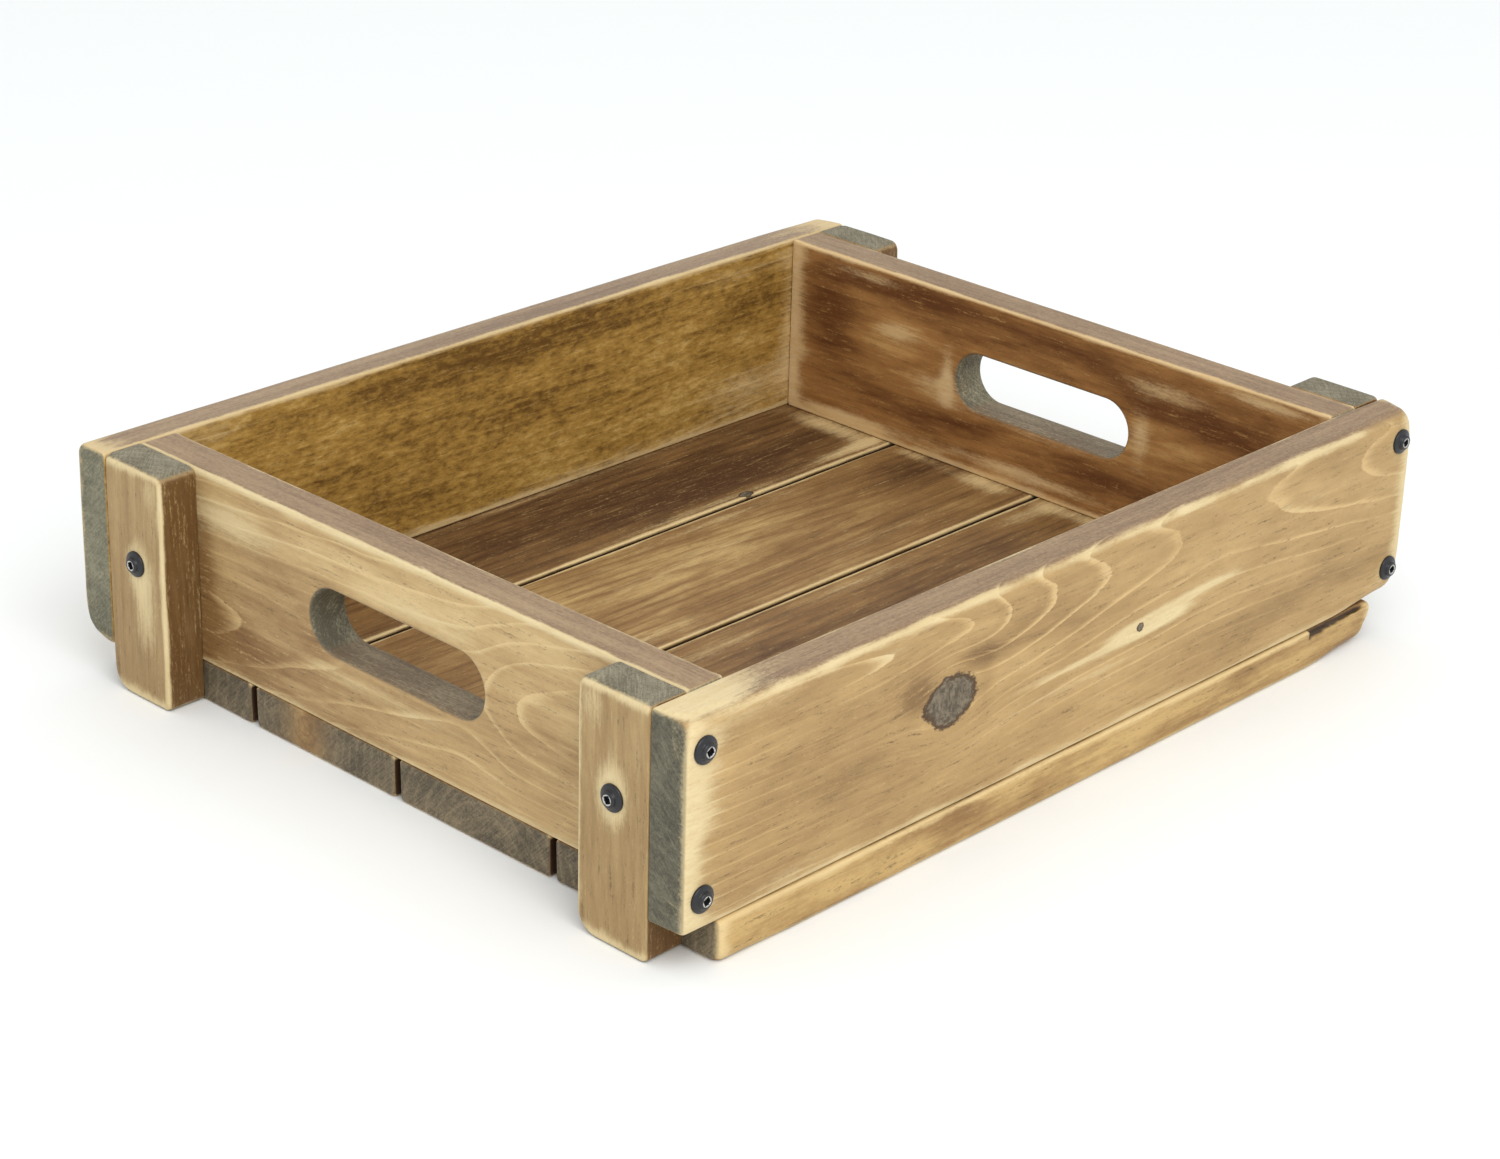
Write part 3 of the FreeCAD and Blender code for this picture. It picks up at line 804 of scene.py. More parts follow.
front_ends = [([2.0, 2.5, 1.0, 2.5], [6.5, 3.0, 1.2, 1.6]), ([3.5, 4.0, 1.5, 4.0], [7.0, 8.5, 2.5, 2.5])]
front_surface = plank_surface(front_place.size, [4.5, 3.5, 1.2, 1.6], front_ends, SIDE_CELL)
board_piece("front_side", "front_side_board", front_place, front_surface, FRONT_WOOD, tan_wood)

# %% [markdown]
# The back board is seen from inside, where it is golden and mottled, and its darker, more saturated colours
# are partly stain and partly painted shade of the crate's inside. Its outer face has plain streaks, so the
# mottle is kept to the inner half with an attribute of its own.

# %% Back side board
back_place = Place("back_side_board", "-x", "+y")
back_halos, back_dents = screw_marks(SIDE_SCREWS)
BACK_WOOD = {
    "seed": 23, "crown": 1.0, "mottled_side": -1,
    "grain": {"pith_b": -70.0, "wide": 6.0, "face": -9.5, "inward": -0.6,
              "heights": [(-240, 1.0), (-110, 3.5), (-60, 5.2), (-20, 4.4), (60, 3.4), (160, 2.0),
                          (240, 0.5)]},
    "figure": (0.5, []),
    "bands": [("+b", "+c", 3, 6, 1.1), ("-b", "+c", 4, 5, 1.1), ("-a", "+c", 4, 12, 1.1),
              ("+a", "+c", 3, 14, 1.1), ("+b", "-c", 2.0, 2.5, 1.0), ("-b", "-c", 2, 5, 0.9),
              ("+a", "+b", 2, 14, 1.0), ("-a", "+b", 2, 40, 1.0), ("+a", "-b", 6, 5, 0.8)],
    "halos": back_halos + [(-160, -26, 40, 15, 0.62, -1), (-70, -40, 90, 6, 0.5, -1),
                           (-150, 36, 60, 7, 0.45, -1),
                           (180, 38, 40, 7, 0.55, -1), (-192, 0, 10, 44, 0.6, -1)],
    "tones": [(-42, 33, 90, 12, -1.2, -1), (-110, -10, 40, 22, 0.2, -1), (60, -20, 110, 26, -0.4, -1),
              (-17, 4, 60, 14, -0.6, -1), (60, 34, 60, 10, -0.7, -1), (-165, 20, 30, 14, -0.8, -1)],
    "dents": back_dents,
}
# darker and more saturated than the tan: partly stain, partly painted shade of the crate's inside
golden_wood = wood_finish("golden_brown_wood", palette(
    dark=rgb(0.13, 0.062, 0.011), mid=rgb(0.38, 0.215, 0.045), pale=rgb(0.58, 0.38, 0.12),
    mottle=0.75, clouds=0.45, streaks=0.26, end_dark=rgb(0.10, 0.092, 0.058),
    end_pale=rgb(0.28, 0.26, 0.17), pale_rings=0.35,
    dark_rings=0.20, specks=1.0, end_rings=0.06, bare=rgb(0.74, 0.57, 0.31), sanding=0.85, roughness=0.42))
back_ends = [([3.0, 3.0, 1.2, 3.0], [6.0, 7.0, 1.6, 1.6]), ([2.0, 3.0, 1.5, 1.5], [2.6, 6.5, 2.0, 1.5])]
back_surface = plank_surface(back_place.size, [5.0, 3.5, 1.2, 1.6], back_ends, SIDE_CELL)
board_piece("back_side", "back_side_board", back_place, back_surface, BACK_WOOD, golden_wood)

# %% [markdown]
# ## The end boards
# The two short boards fit between the side boards, and each has a hand hole bored at both ends and sawn out
# between. The left one is seen from outside and is golden; the right one is seen from inside, and its darker
# red-brown is partly stain and partly painted shade of the crate's inside.

# %% End boards
END_CELL = 2.0
HOLE_RADIUS, HOLE_HALF_PITCH, HOLE_RISE = 14.3, 38.1, 2.5


def end_surface(place, rim):
    """The slotted surface of an end board whose upper arrises have the radius rim."""
    return slotted_surface(place.size, rim, 0.9, 1.6, (0.0, HOLE_RISE), HOLE_RADIUS, HOLE_HALF_PITCH,
                           END_CELL)


left_place = Place("left_end_board", "-y", "-x")
LEFT_WOOD = {
    "seed": 37, "crown": 1.0, "bored": True,
    "grain": {"pith_b": -5.6, "wide": 6.5, "face": 9.5, "inward": -1.0, "lean": 0.127, "waver": 0.16,
              "heights": [(-170, 3.0), (-101, 4.0), (-60, 4.6), (0, 5.2), (40, 5.5), (55, 5.0), (69, 4.0),
                          (110, 3.1), (170, 2.0)]},
    "figure": (0.22, [(66, 2, 30, 18, 0.5, 1), (-108, -16, 20, 16, 0.45, 1), (-10, -26, 110, 8, 0.45, 1),
                      (0, 34, 120, 10, 0.4, 1)]),
    "bands": [("+b", "+c", 1.6, 3.4, 1.3), ("+b", "-c", 2, 3, 0.9), ("-b", "+c", 2, 4, 0.75),
              ("-b", "-c", 2, 6, 0.8), ("-a", "-c", 2, 10, 0.7), ("+a", "-c", 2, 10, 0.7)],
    "halos": [(22, 24, 60, 7, 0.55, 1), (-10, -20, 70, 5, 0.5, 1), (-104, 26, 40, 12, 0.75, 1),
              (0, 2, 52, 16, 0.26, 1), (70, -36, 50, 5, 0.3, 1)],
    "tones": [(0, 32, 130, 12, 0.6, 1), (-60, -4, 50, 24, -0.6, 1), (70, -14, 70, 14, -0.5, 1),
              (-100, -30, 60, 9, -0.7, 1), (0, 0, 90, 30, -0.3, -1), (-124, -6, 8, 40, -1.6, 1),
              (-112, -26, 26, 14, -1.1, 1),
              (-90, -42, 60, 6, -0.9, 1), (122, 0, 8, 50, -0.6, 1), (-60, 39, 90, 3, -0.5, 1)],
}
honey_wood = wood_finish("honey_stained_wood", palette(
    dark=rgb(0.22, 0.115, 0.038), mid=rgb(0.47, 0.31, 0.135), pale=rgb(0.66, 0.48, 0.235), pale_rings=0.7,
    streaks=0.42, fibres=0.30, clouds=0.40, grain=0.75))
board_piece("left_end", "left_end_board", left_place, end_surface(left_place, 1.8), LEFT_WOOD, honey_wood)

right_place = Place("right_end_board", "+y", "+x")
RIGHT_WOOD = {
    "seed": 41, "crown": 1.0, "bored": True,
    "grain": {"pith_b": 14.0, "wide": 5.5, "face": -9.5, "inward": 1.0, "lean": -0.08,
              "heights": [(-170, 6.5), (-60, 5.4), (40, 4.0), (120, 3.0), (170, 2.4)]},
    "figure": (0.25, []),
    "bands": [("+b", "-c", 1.6, 2.2, 1.15), ("+b", "+c", 1.6, 2.6, 1.1), ("-b", "-c", 2, 5, 0.95),
              ("-b", "+c", 2, 4, 0.7), ("+a", "-c", 2, 11, 1.15), ("-a", "-c", 2, 9, 0.7)],
    "halos": [(92, 14, 20, 7, 0.75, -1), (66, -6, 26, 8, 0.62, -1), (9, -36, 66, 5, 0.75, -1),
              (-74, 29.5, 30, 6, 0.65, -1), (125, -40, 44, 5, 0.9, -1), (0, 18, 52, 4, 0.42, -1),
              (-60, 4, 8, 16, 0.75, -1), (58, 2, 5, 16, 0.7, -1), (110, 38, 30, 4, 0.6, -1),
              (-130, 40, 34, 4, 0.8, -1), (0, -14, 60, 3, 0.5, -1)],
    "tones": [(136, 10, 18, 28, -1.3, -1), (100, 37, 50, 5, -1.3, -1), (69, -24, 46, 9, -0.9, -1),
              (-10, 34, 70, 7, -1.2, -1), (-121, 18, 34, 14, -1.4, -1), (60, 26, 40, 12, -0.4, -1),
              (-60, -24, 60, 14, -0.7, -1), (92, 14, 26, 14, 0.7, -1), (-60, 26, 40, 8, -0.7, -1),
              (-84, 0, 24, 10, 0.3, -1)],
}
# darker red-brown than the honey: partly stain, partly painted shade of the crate's inside
russet_wood = wood_finish("russet_stain_and_shade_wood", palette(
    dark=rgb(0.13, 0.045, 0.012), mid=rgb(0.35, 0.165, 0.05), pale=rgb(0.60, 0.36, 0.13), pale_rings=0.2,
    dark_rings=0.16, streaks=0.40, fibres=0.34, clouds=0.6, bare=rgb(0.76, 0.58, 0.32),
    bare_shade=rgb(0.60, 0.38, 0.16)))
board_piece("right_end", "right_end_board", right_place, end_surface(right_place, 1.8), RIGHT_WOOD,
            russet_wood)

# %% [markdown]
# ## The corner cleats
# Each corner has an upright cleat that the boards are screwed to, and its foot reaches the ground. A cleat
# is cut from a strip, so its outline has the big round foot, and only its arrises are eased. That is the same
# carried section as before, turned: the outline is the section, and it's carried through the thickness.

# %% Cleats
CLEAT_CELL = 1.2
CLEAT_SCREW_RISE = 63.5 - 53.975  # from a cleat's middle to its screw


def cleat_surface(size, corners, face_arrises, inner_arris):
    """A cleat's closed surface. Its outline in a and b is the section, with the corner radii at +a +b,
    -a +b, -a -b and +a -b. It's carried along c, and a cyclic swap of axes turns it back."""
    ends = [([inner_arris] * 4, [inner_arris] * 4), (face_arrises[:4], face_arrises[4:])]
    points, normals, quads = plank_surface(np.roll(size, 1), corners, ends, CLEAT_CELL)
    return np.roll(points, -1, axis=1), np.roll(normals, -1, axis=1), quads


cleat_wood = wood_finish("nut_brown_cleat_wood", palette(
    dark=rgb(0.13, 0.062, 0.016), mid=rgb(0.35, 0.225, 0.095), pale=rgb(0.56, 0.40, 0.19), pale_rings=0.22,
    dark_rings=0.12, streaks=0.28, fibres=0.22, end_pale=rgb(0.30, 0.265, 0.18),
    end_dark=rgb(0.12, 0.10, 0.062)))
CLEATS = {
    "front_left": {"outward": "-x", "free": "+b", "held": "-b", "seed": 51,
                   "halo": (14, 1, 24, 9.5, 0.55, 1), "foot": 1.0},
    "back_left": {"outward": "-x", "free": "-b", "held": "+b", "seed": 58,
                  "halo": (-10, -5, 27, 10, 0.8, 1), "foot": 1.0},
    "front_right": {"outward": "+x", "free": "-b", "held": "+b", "seed": 67,
                    "halo": (20, 3, 16, 8, 0.5, 1), "foot": 0.8},
    "back_right": {"outward": "+x", "free": "+b", "held": "-b", "seed": 71,
                   "halo": (-10, 0, 20, 8, 0.6, 1), "foot": 0.8},
}
for corner, cleat in CLEATS.items():
    cleat_place = Place(f"{corner}_cleat", "+z", cleat["outward"])
    cleat_halos, cleat_dents = screw_marks([(CLEAT_SCREW_RISE, 0.0)])
    free, held = cleat["free"], cleat["held"]
    wood = {
        "seed": cleat["seed"],
        "grain": {"pith_b": 30.0 if free == "+b" else -34.0, "wide": 4.2, "face": 9.5, "inward": 1.0,
                  "lean": 0.06, "heights": [(-60, 6.0), (0, 7.2), (60, 8.6)]},
        "bands": [(free, "+c", 1.6, 2.8, 1.2), (held, "+c", 1, 1.5, 0.6), ("+a", "+c", 1.5, 4.5, 1.15),
                  ("-a", "+c", 1.5, 6 * cleat["foot"], 1.1), ("-a", free, 2, 2, 0.8),
                  ("-a", "-c", 2, 2, 0.6)],
        "halos": cleat_halos + [cleat["halo"], (46, 12 if free == "+b" else -12, 12, 9, 0.55, 1)],
        "tones": [(-30, 8, 26, 12, -0.25, 1), (38, -6, 20, 10, 0.2, 1)],
        # the cleats' sides darker: partly stain, partly painted shade
        "side_tone_and_shade": -1.5,
        "soil_and_shade": [(-50, 0, 6, 30, 0.25, -1)],
        "dents": cleat_dents,
    }
    radii = [4.5, 10.0, 3.5, 1.2] if free == "+b" else [1.2, 10.0, 3.5, 4.5]
    faces = [1.8, 2.2, 1.5, 2.4, 2.6, 2.2, 2.2, 2.6]
    board_piece(f"{corner}_cleat_visual", f"{corner}_cleat", cleat_place,
                cleat_surface(cleat_place.size, radii, faces, 0.8), wood, cleat_wood)

# %% [markdown]
# ## The floor
# Four boards run the length of the crate with narrow gaps between. They kept the darkest stain, because only
# their long arrises could be reached with sandpaper, and their ends show outside under the end boards.

# %% Where the floor is screwed
END_INSET = 20.0  # from the ends of a joint to its screws
CONE_RADIUS = 4.2  # of a floor screw's head
JOINT_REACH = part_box("right_end_board")[1].y / MM  # half the length of an end board
MIDDLE_SCREWS = 70.0  # how far the two screws into a side board are from the middle


def floor_screw_places(where):
    """Where a floor board's screws are, on its underside: two under each end board, END_INSET from the ends
    of the joint, and for the outer boards two more under the side board."""
    low, high = (np.array(corner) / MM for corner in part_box(f"floor_screws_{where}"))
    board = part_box(f"floor_board_{where}")
    near, far = (np.clip(corner.y / MM, -JOINT_REACH, JOINT_REACH) for corner in board)
    ends_x = high[0] - CONE_RADIUS
    places = [(x, y, 0.0) for x in (-ends_x, ends_x) for y in (near + END_INSET, far - END_INSET)]
    if where in ("front", "back"):
        edge_y = (low[1] if low[1] < 0 else high[1]) - math.copysign(CONE_RADIUS, low[1])
        places += [(x, edge_y, 0.0) for x in (-MIDDLE_SCREWS, MIDDLE_SCREWS)]
    return places


print("screws in the front floor board:", np.round(floor_screw_places("front"), 1).tolist())

# %% Floor boards
FLOOR_CELL = 1.7
FLOORS = {
    "front": {
        "seed": 83,
        "grain": {"pith_b": 20.0, "wide": 6.0, "face": 9.5, "inward": -1.0,
                  "heights": [(-220, 1.0), (0, 3.2), (220, 5.2)]},
        "bands": [("-b", "+c", 3, 4, 0.9), ("-b", "-c", 2, 3, 1.1), ("+b", "+c", 1.5, 2, 1.0),
                  ("-a", "-b", 3, 7, 1.1), ("+a", "-b", 3, 8, 1.0), ("-a", "-c", 1.5, 2, 0.9),
                  ("+a", "-c", 2, 3, 0.9)],
        "edge_tone": 0.85, "gap_side": 1, "cell": 1.3,
        "scars": [(163.0, 207.0, 5.0, 8.7, 1.7)],
        "halos": [(188, 10, 9, 40, 0.7, 1)],
        "arrises": [1.2, 1.6, 3.0, 1.2],
        "ends": [([1.5, 3.0, 3.0, 1.5], [1.0, 2.0, 4.5, 2.0]), ([1.5, 3.0, 3.5, 1.5], [1.0, 2.5, 8.5, 2.0])],
    },
    "mid_front": {
        "seed": 91, "gap_side": 0,
        "grain": {"pith_b": -10.0, "wide": 6.0, "face": 9.5, "inward": -1.0,
                  "heights": [(-220, 5.0), (0, 2.4), (220, 0.6)]},
        "bands": [("-b", "+c", 1.5, 1.8, 1.05), ("+b", "+c", 1.5, 1.8, 1.05), ("-a", "-c", 1.5, 2, 0.9),
                  ("+a", "-c", 1.5, 2, 0.9), ("-b", "-c", 2, 3, 0.8), ("+b", "-c", 2, 3, 0.8)],
        "halos": [(188, 6, 9, 40, 0.72, 1), (168, 34, 26, 8, 0.5, 1), (-60, 30, 60, 7, 0.5, 1),
                  (60, 36, 70, 5, 0.5, 1)],
        "tones": [(-5, 12, 44, 16, -1.0, 1), (110, -4, 60, 26, -0.9, 1), (-110, -4, 60, 20, 0.3, 1)],
    },
    "mid_back": {
        "seed": 97, "gap_side": 0,
        "grain": {"pith_b": 4.0, "wide": 4.4, "face": 9.5, "inward": -1.0, "lean": -0.04,
                  "heights": [(-220, 1.4), (-100, 2.4), (0, 3.6), (120, 5.2), (220, 5.8)]},
        "bands": [("-b", "+c", 1.5, 1.8, 1.05), ("+b", "+c", 1.5, 1.8, 1.05), ("-a", "-c", 1.5, 2, 0.9),
                  ("+a", "-c", 1.5, 2, 0.9), ("-b", "-c", 2, 3, 0.8), ("+b", "-c", 2, 3, 0.8)],
        "halos": [(10, 12, 90, 14, 0.42, 1), (100, -26, 70, 8, 0.45, 1), (187, -16, 10, 26, 0.7, 1),
                  (-60, -34, 60, 8, 0.5, 1), (60, 37, 90, 5, 0.5, 1), (189, 30, 7, 16, 0.6, 1)],
        "tones": [(175, 14, 26, 12, -1.1, 1), (20, 5, 120, 26, 0.5, 1), (-56, -32, 40, 10, 0.2, 1),
                  (130, 0, 50, 40, -0.35, 1)],
        "stained_ends": [(-211, 12, 9, 12, 0.85, 0)],
    },
    "back": {
        "seed": 103,
        "grain": {"pith_b": -60.0, "wide": 6.0, "face": 9.5, "inward": -0.6,
                  "heights": [(-220, 3.0), (0, 4.4), (220, 5.6)]},
        "knots": [(92, -42, 7, 4, 1)],
        "bands": [("-b", "+c", 1.5, 2.2, 1.05), ("+b", "+c", 3, 3, 0.8), ("-a", "-c", 1.5, 2, 0.9),
                  ("+a", "-c", 1.5, 2, 0.9), ("+b", "-c", 3, 4, 1.0), ("-b", "-c", 2, 3, 0.8),
                  ("-a", "+b", 4, 7, 1.0)],
        "gap_side": -1,
        "halos": [(186, -10, 11, 32, 0.8, 1), (168, -36, 30, 5, 0.7, 1), (60, -40, 110, 4, 0.55, 1),
                  (30, 24, 150, 4, 0.45, 1)],
        "tones": [(96, -18, 60, 16, -0.9, 1), (0, 0, 260, 44, -1.1, 1)],
    },
}
# deep is near black: the colour of dirt, specks and knots, and of the painted shade down the floor's gaps
umber_wood = wood_finish("umber_floor_wood", palette(
    dark=rgb(0.075, 0.030, 0.010), mid=rgb(0.25, 0.13, 0.042), pale=rgb(0.54, 0.36, 0.14),
    deep=rgb(0.025, 0.012, 0.006), pale_rings=0.20, dark_rings=0.22,
    streaks=0.36, fibres=0.26, clouds=0.40, bare=rgb(0.74, 0.56, 0.28),
    end_dark=rgb(0.072, 0.058, 0.038), end_pale=rgb(0.26, 0.20, 0.12), end_rings=0.16))
PLAIN_ENDS = [([1.2, 1.5, 2.2, 1.5], [1.0, 1.0, 2.0, 2.0])] * 2
for where, wood in FLOORS.items():
    floor_place = Place(f"floor_board_{where}", "+x", "+z")
    screw_spots = floor_place.local(floor_screw_places(where))
    wood["dents"] = [(a, b, 5.5, 5.5, 0.5, -1) for a, b, _ in screw_spots]
    floor_surface = plank_surface(floor_place.size, wood.get("arrises", [0.9, 0.9, 1.6, 1.6]),
                                  wood.get("ends", PLAIN_ENDS), wood.get("cell", FLOOR_CELL))
    board_piece(f"floor_{where}", f"floor_board_{where}", floor_place, floor_surface, wood, umber_wood)

# %% [markdown]
# ## The screws
# The black screws have a wide washer head, a raised hub and a square socket, whose rim has worn bright from
# the driver. Each is one carried ring: square in the socket, round on the hub, and swelling into a helix
# along the thread. The floor is held by plated screws whose cone heads sit level with the wood.

# %% Screw surface
AROUND = 32  # points round a screw, a multiple of four
SOCKET_TURN = math.radians(25)
THREAD_CREST, THREAD_CORE, SHANK = 2.1, 1.4, 1.6  # radii
THREAD_PITCH, POINT = 2.8, 5.0
THREAD_ROWS = 7  # rows of points in one turn of the thread
RIDGE_WIDTH = 0.28  # half the width of a ridge at its foot, in pitches
SOCKET_RIM = 1.95  # radius where the driver rubbed the coat off
# Each row of a head: radius, height, and how square it is.
WASHER_HEAD = [(1.3, 0.62, 1), (1.5, 0.7, 1), (1.5, 1.4, 1), (1.5, 2.1, 1), (1.53, 2.6, 1), (1.62, 2.76, 0.9),
               (1.95, 2.8, 0.5), (2.5, 2.8, 0), (2.9, 2.76, 0), (3.2, 2.62, 0), (3.45, 2.38, 0),
               (3.55, 2.0, 0), (3.62, 1.6, 0), (3.8, 1.36, 0), (4.2, 1.22, 0), (4.8, 1.05, 0), (5.3, 0.86, 0),
               (5.6, 0.66, 0), (5.72, 0.4, 0), (5.74, 0.0, 0), (5.68, -0.45, 0), (5.2, -0.6, 0),
               (3.0, -0.6, 0)]
CONE_HEAD = [(1.2, -1.9, 1), (1.35, -1.8, 1), (1.4, -0.9, 1), (1.42, -0.25, 1), (1.55, -0.13, 0.8),
             (2.2, -0.1, 0), (3.2, -0.1, 0), (4.0, -0.12, 0), (4.18, -0.25, 0), (4.2, -0.4, 0),
             (3.6, -1.0, 0),
             (2.6, -2.0, 0), (1.8, -2.8, 0)]


def screw_surface(head, length, smooth):
    """A screw whose wood face is at height 0 and that points down, as (points, quads, bright).

    A row's radius is r / (1 + q (max(|cos|, |sin|) - 1)), so q = 1 gives a square. In the thread the radius
    is the core plus the rest times the height of a triangle wave of the turn angle less the depth."""
    angles = 2 * math.pi * np.arange(AROUND) / AROUND + SOCKET_TURN
    shank = np.linspace(head[-1][1] - 0.4, -smooth, 5)
    thread = np.arange(-smooth - THREAD_PITCH / THREAD_ROWS, -length, -THREAD_PITCH / THREAD_ROWS)
    radius, height, square = np.array(head).T
    heights = np.concatenate([height, shank, thread])[:, None] * np.ones(AROUND)
    fold = np.maximum(np.abs(np.cos(angles - SOCKET_TURN)), np.abs(np.sin(angles - SOCKET_TURN)))
    wave = (thread[:, None] / THREAD_PITCH + angles / (2 * math.pi)) % 1
    ridge = np.clip(1 - np.abs(wave - 0.5) / RIDGE_WIDTH, 0, 1)
    taper = np.clip((length + thread[:, None]) / POINT, 0.06, 1) ** 0.8
    start = smooth_step(0, THREAD_PITCH, -smooth - thread[:, None])
    core = SHANK + (THREAD_CORE - SHANK) * start
    threaded = (core + (THREAD_CREST - THREAD_CORE) * ridge * start) * taper
    radii = np.concatenate([radius[:, None] / (1 + square[:, None] * (fold - 1)),
                            np.full((len(shank), AROUND), SHANK), threaded])
    points = np.stack([radii * np.cos(angles), radii * np.sin(angles), heights], -1).reshape(-1, 3)
    rows = len(radii)
    body = np.arange(rows * AROUND).reshape(rows, AROUND)
    body = np.concatenate([body, body[:, :1]], axis=1)
    quads = [grid_quads(body)]
    starts = [0, AROUND // 4, AROUND // 2, 3 * AROUND // 4]
    for first, flip in ((0, True), ((rows - 1) * AROUND, False)):
        grid = patch_indices(starts, AROUND, AROUND)
        inside = patch_inside(points[first:first + AROUND], grid)
        numbers = np.where(grid < AROUND, grid + first, grid - AROUND + len(points))
        quads.append(grid_quads(numbers[::-1] if flip else numbers))
        points = np.concatenate([points, inside])
    quads = np.concatenate(quads)
    if signed_volume(points, quads) < 0:
        quads = quads[:, ::-1]
    reach = np.hypot(points[:, 0], points[:, 1])
    top = height.max()
    bright = np.exp(-((reach - SOCKET_RIM) / 0.45) ** 2) * smooth_step(top - 0.6, top - 0.2, points[:, 2])
    return points, quads, bright


def metal_finish(name, coat, bare, coat_metal, roughness):
    """Coated metal that is rubbed bare where the mesh's bright attribute says so."""
    material, tree, shader = new_material(name)
    place = Wire(tree, tree.nodes.new("ShaderNodeTexCoord").outputs["Object"])
    grime = place.noise((900.0, 900.0, 900.0), 3.0, 0.6)
    worn = (attribute(tree, "bright", "Fac") + grime * 0.35).step(0.45, 0.8)
    colour = worn.blend((grime * 0.5 + 0.5).blend(coat, tuple(1.9 * part for part in coat[:3]) + (1.0,)),
                        bare)
    tree.links.new(colour.socket, shader.inputs["Base Color"])
    tree.links.new(worn.step(0.0, 1.0, coat_metal, 1.0).socket, shader.inputs["Metallic"])
    tree.links.new((grime * 0.12 + roughness).socket, shader.inputs["Roughness"])
    bump = tree.nodes.new("ShaderNodeBump")
    bump.inputs["Strength"].default_value = 0.2
    bump.inputs["Distance"].default_value = 0.1 * MM
    tree.links.new(grime.socket, bump.inputs["Height"])
    tree.links.new(bump.outputs["Normal"], shader.inputs["Normal"])
    return material


def screws_piece(name, node, surface, places, outward, material):
    """One or more like screws with their heads towards outward, at places on the wood's face."""
    points, quads, bright = surface
    out = np.array(DIRECTIONS[outward], float)
    side = np.roll(np.abs(out), 1)
    axes = np.array([side, np.cross(out, side), out])
    all_points = np.concatenate([points @ axes + place for place in places])
    all_quads = np.concatenate([quads + number * len(points) for number in range(len(places))])
    piece = mesh_piece(name, all_points, all_quads, material)
    add_attribute(piece.data, "bright", "FLOAT", np.tile(bright, len(places)))
    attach(piece, "root")
    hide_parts(node)
    return piece


black_coat = metal_finish("black_screw_coating", rgb(0.014, 0.014, 0.016), rgb(0.55, 0.53, 0.50), 0.3, 0.34)
zinc_plate = metal_finish("zinc_plating", rgb(0.50, 0.49, 0.45), rgb(0.7, 0.69, 0.66), 1.0, 0.38)
# Each screw: its head, its length below the wood's face, and how much of that is plain shank.
side_screw = screw_surface(WASHER_HEAD, 38.0, 13.0)
cleat_screw = screw_surface(WASHER_HEAD, 32.1, 12.0)
floor_screw = screw_surface(CONE_HEAD, 32.0, 12.0)
print("washer screw:", 2 * len(side_screw[1]), "triangles")

# %% [markdown]
# A screw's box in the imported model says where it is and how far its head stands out, so the places aren't
# typed in again. The floor screws of a board are one piece, as they are one node.

# %% Screws in their places
HEAD_HEIGHT = 2.8  # of a washer head, above the wood


def head_place(node, axis, sign):
    """The middle of a screw node's box, moved along its axis to the wood's face under the head."""
    low, high = (np.array(corner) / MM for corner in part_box(node))
    place = (low + high) / 2
    place[axis] = (high if sign > 0 else low)[axis] - sign * HEAD_HEIGHT
    return place


for corner in CLEATS:
    front_or_back = -1 if corner.startswith("front") else 1
    left_or_right = -1 if corner.endswith("left") else 1
    for level in ("lower", "upper"):
        screw = f"{corner}_{level}_screw"
        screws_piece(f"{screw}_visual", screw, side_screw, [head_place(screw, 1, front_or_back)],
                     "-y" if front_or_back < 0 else "+y", black_coat)
    screw = f"{corner}_cleat_screw"
    screws_piece(f"{screw}_visual", screw, cleat_screw, [head_place(screw, 0, left_or_right)],
                 "-x" if left_or_right < 0 else "+x", black_coat)

for where in FLOORS:
    places = floor_screw_places(where)
    screws_piece(f"floor_screws_{where}_visual", f"floor_screws_{where}", floor_screw, places, "-z",
                 zinc_plate)
    print(f"floor screws {where}:", np.round(places, 1).tolist())

# %% [markdown]
# ## Floor, light and camera
# The crate stands on a plain pale floor under one very big soft light and a white surround, so its shadows
# are faint. The camera stands off the front left corner, a little above, and is tipped by a degree or two.

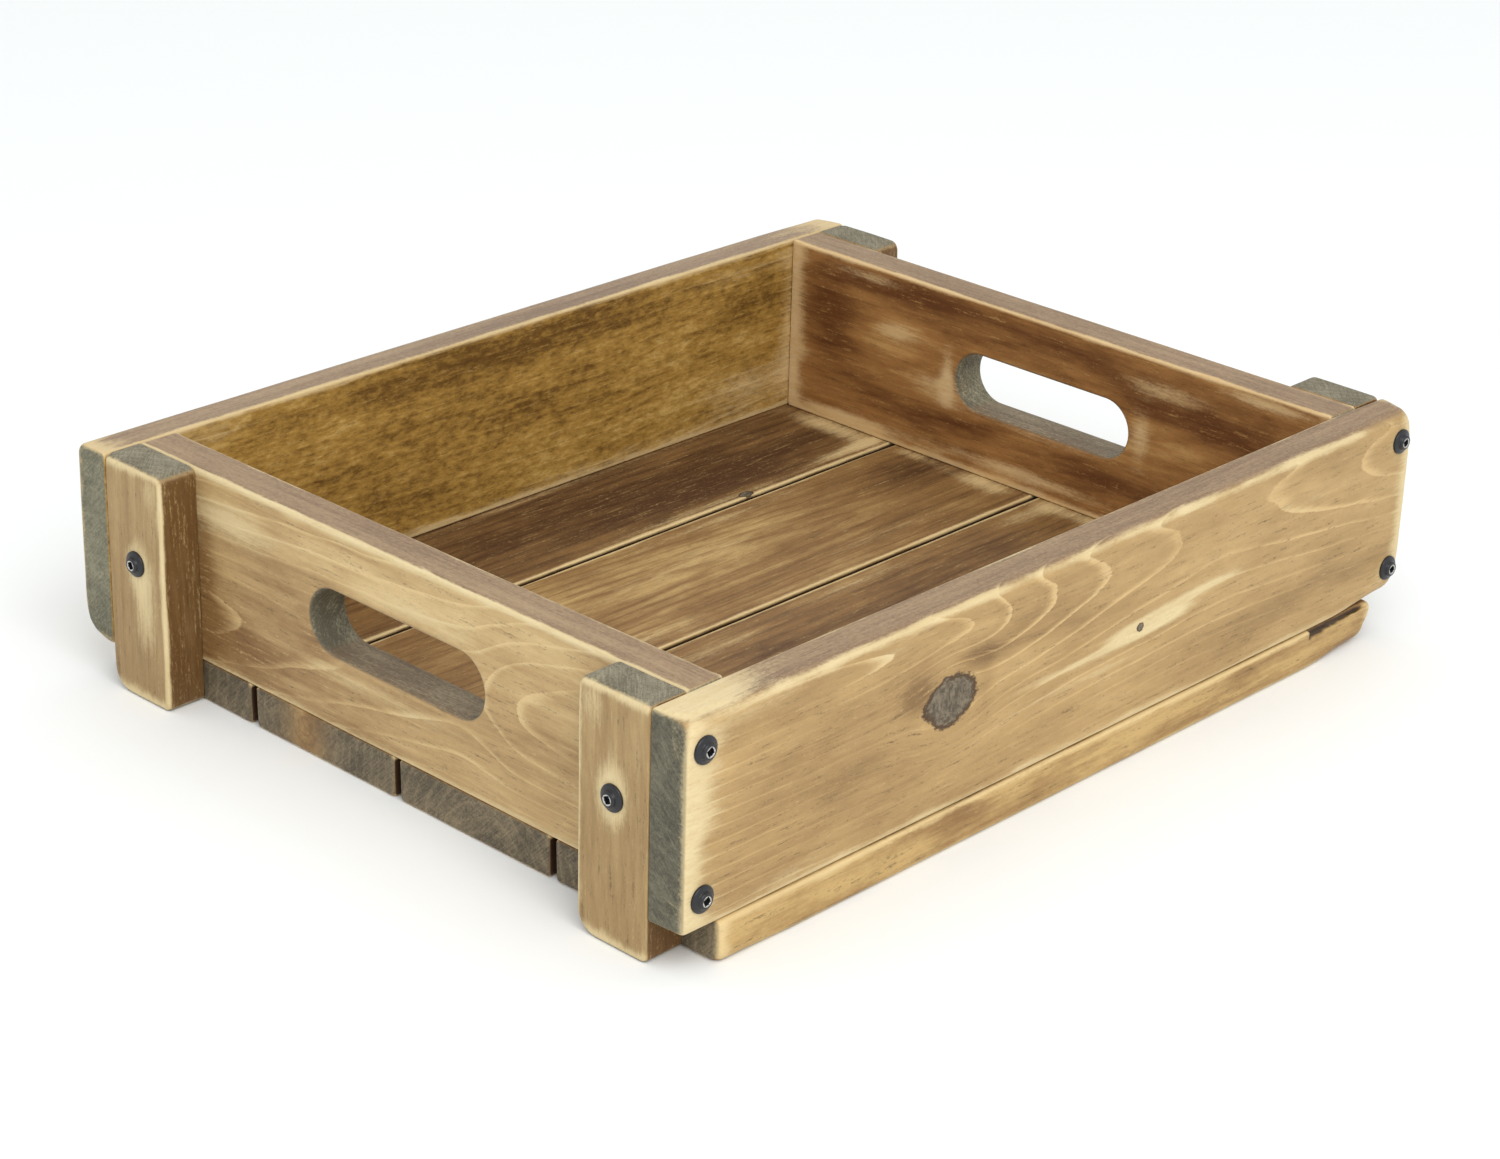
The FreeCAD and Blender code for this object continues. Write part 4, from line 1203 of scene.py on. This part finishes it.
# %% Stage
floor_mesh = bpy.data.meshes.new("pale_floor")
REACH = 8.0  # m from the crate to the edge of the floor
floor_mesh.from_pydata([(-REACH, -REACH, 0), (REACH, -REACH, 0), (REACH, REACH, 0), (-REACH, REACH, 0)],
                       [], [(0, 1, 2, 3)])
floor = bpy.data.objects.new("pale_floor", floor_mesh)
bpy.context.scene.collection.objects.link(floor)
floor_material, floor_tree, floor_shader = new_material("pale_floor")
floor_shader.inputs["Base Color"].default_value = rgb(0.90, 0.91, 0.90)
floor_shader.inputs["Roughness"].default_value = 0.8
floor_shader.inputs["Specular IOR Level"].default_value = 0.2
floor_mesh.materials.append(floor_material)

world = bpy.data.worlds.new("white_surround")
world.use_nodes = True
world.node_tree.nodes["Background"].inputs["Color"].default_value = rgb(0.97, 0.99, 1.0)
world.node_tree.nodes["Background"].inputs["Strength"].default_value = 0.95
bpy.context.scene.world = world


def soft_light(name, place, target, size, watts):
    """A square area light at place, turned to face target."""
    lamp = bpy.data.lights.new(name, "AREA")
    lamp.size, lamp.energy = size, watts
    holder = bpy.data.objects.new(name, lamp)
    holder.location = place
    holder.rotation_euler = (Vector(target) - Vector(place)).to_track_quat("-Z", "Y").to_euler()
    bpy.context.scene.collection.objects.link(holder)


soft_light("soft_box", (-0.9, -1.7, 1.9), (0, 0, 0), 1.8, 36.0)

# %% [markdown]
# A long lens far off keeps the crate's edges nearly parallel. The camera is placed by its target, distance
# and angles, which say more to a reader than three coordinates and a rotation would.

# %% Camera
LENS = 82.97  # mm, for a sensor 36 mm wide
TARGET = Vector((-0.0355, -0.0280, 0.054))
DISTANCE = 1.4806  # m from the target
AZIMUTH, ELEVATION, ROLL = math.radians(-46.79), math.radians(24.19), math.radians(1.68)
back = Vector((math.sin(AZIMUTH) * math.cos(ELEVATION), -math.cos(AZIMUTH) * math.cos(ELEVATION),
               math.sin(ELEVATION)))
lens = bpy.data.cameras.new("camera")
lens.sensor_width, lens.lens = 36.0, LENS
camera = bpy.data.objects.new("camera", lens)
camera.location = TARGET + DISTANCE * back
camera.rotation_mode = "QUATERNION"
camera.rotation_quaternion = back.to_track_quat("Z", "Y") @ Quaternion((0, 0, 1), ROLL)
bpy.context.scene.collection.objects.link(camera)
bpy.context.scene.camera = camera
bpy.context.scene.view_settings.view_transform = "Standard"
print("camera at", [round(value, 3) for value in camera.location])
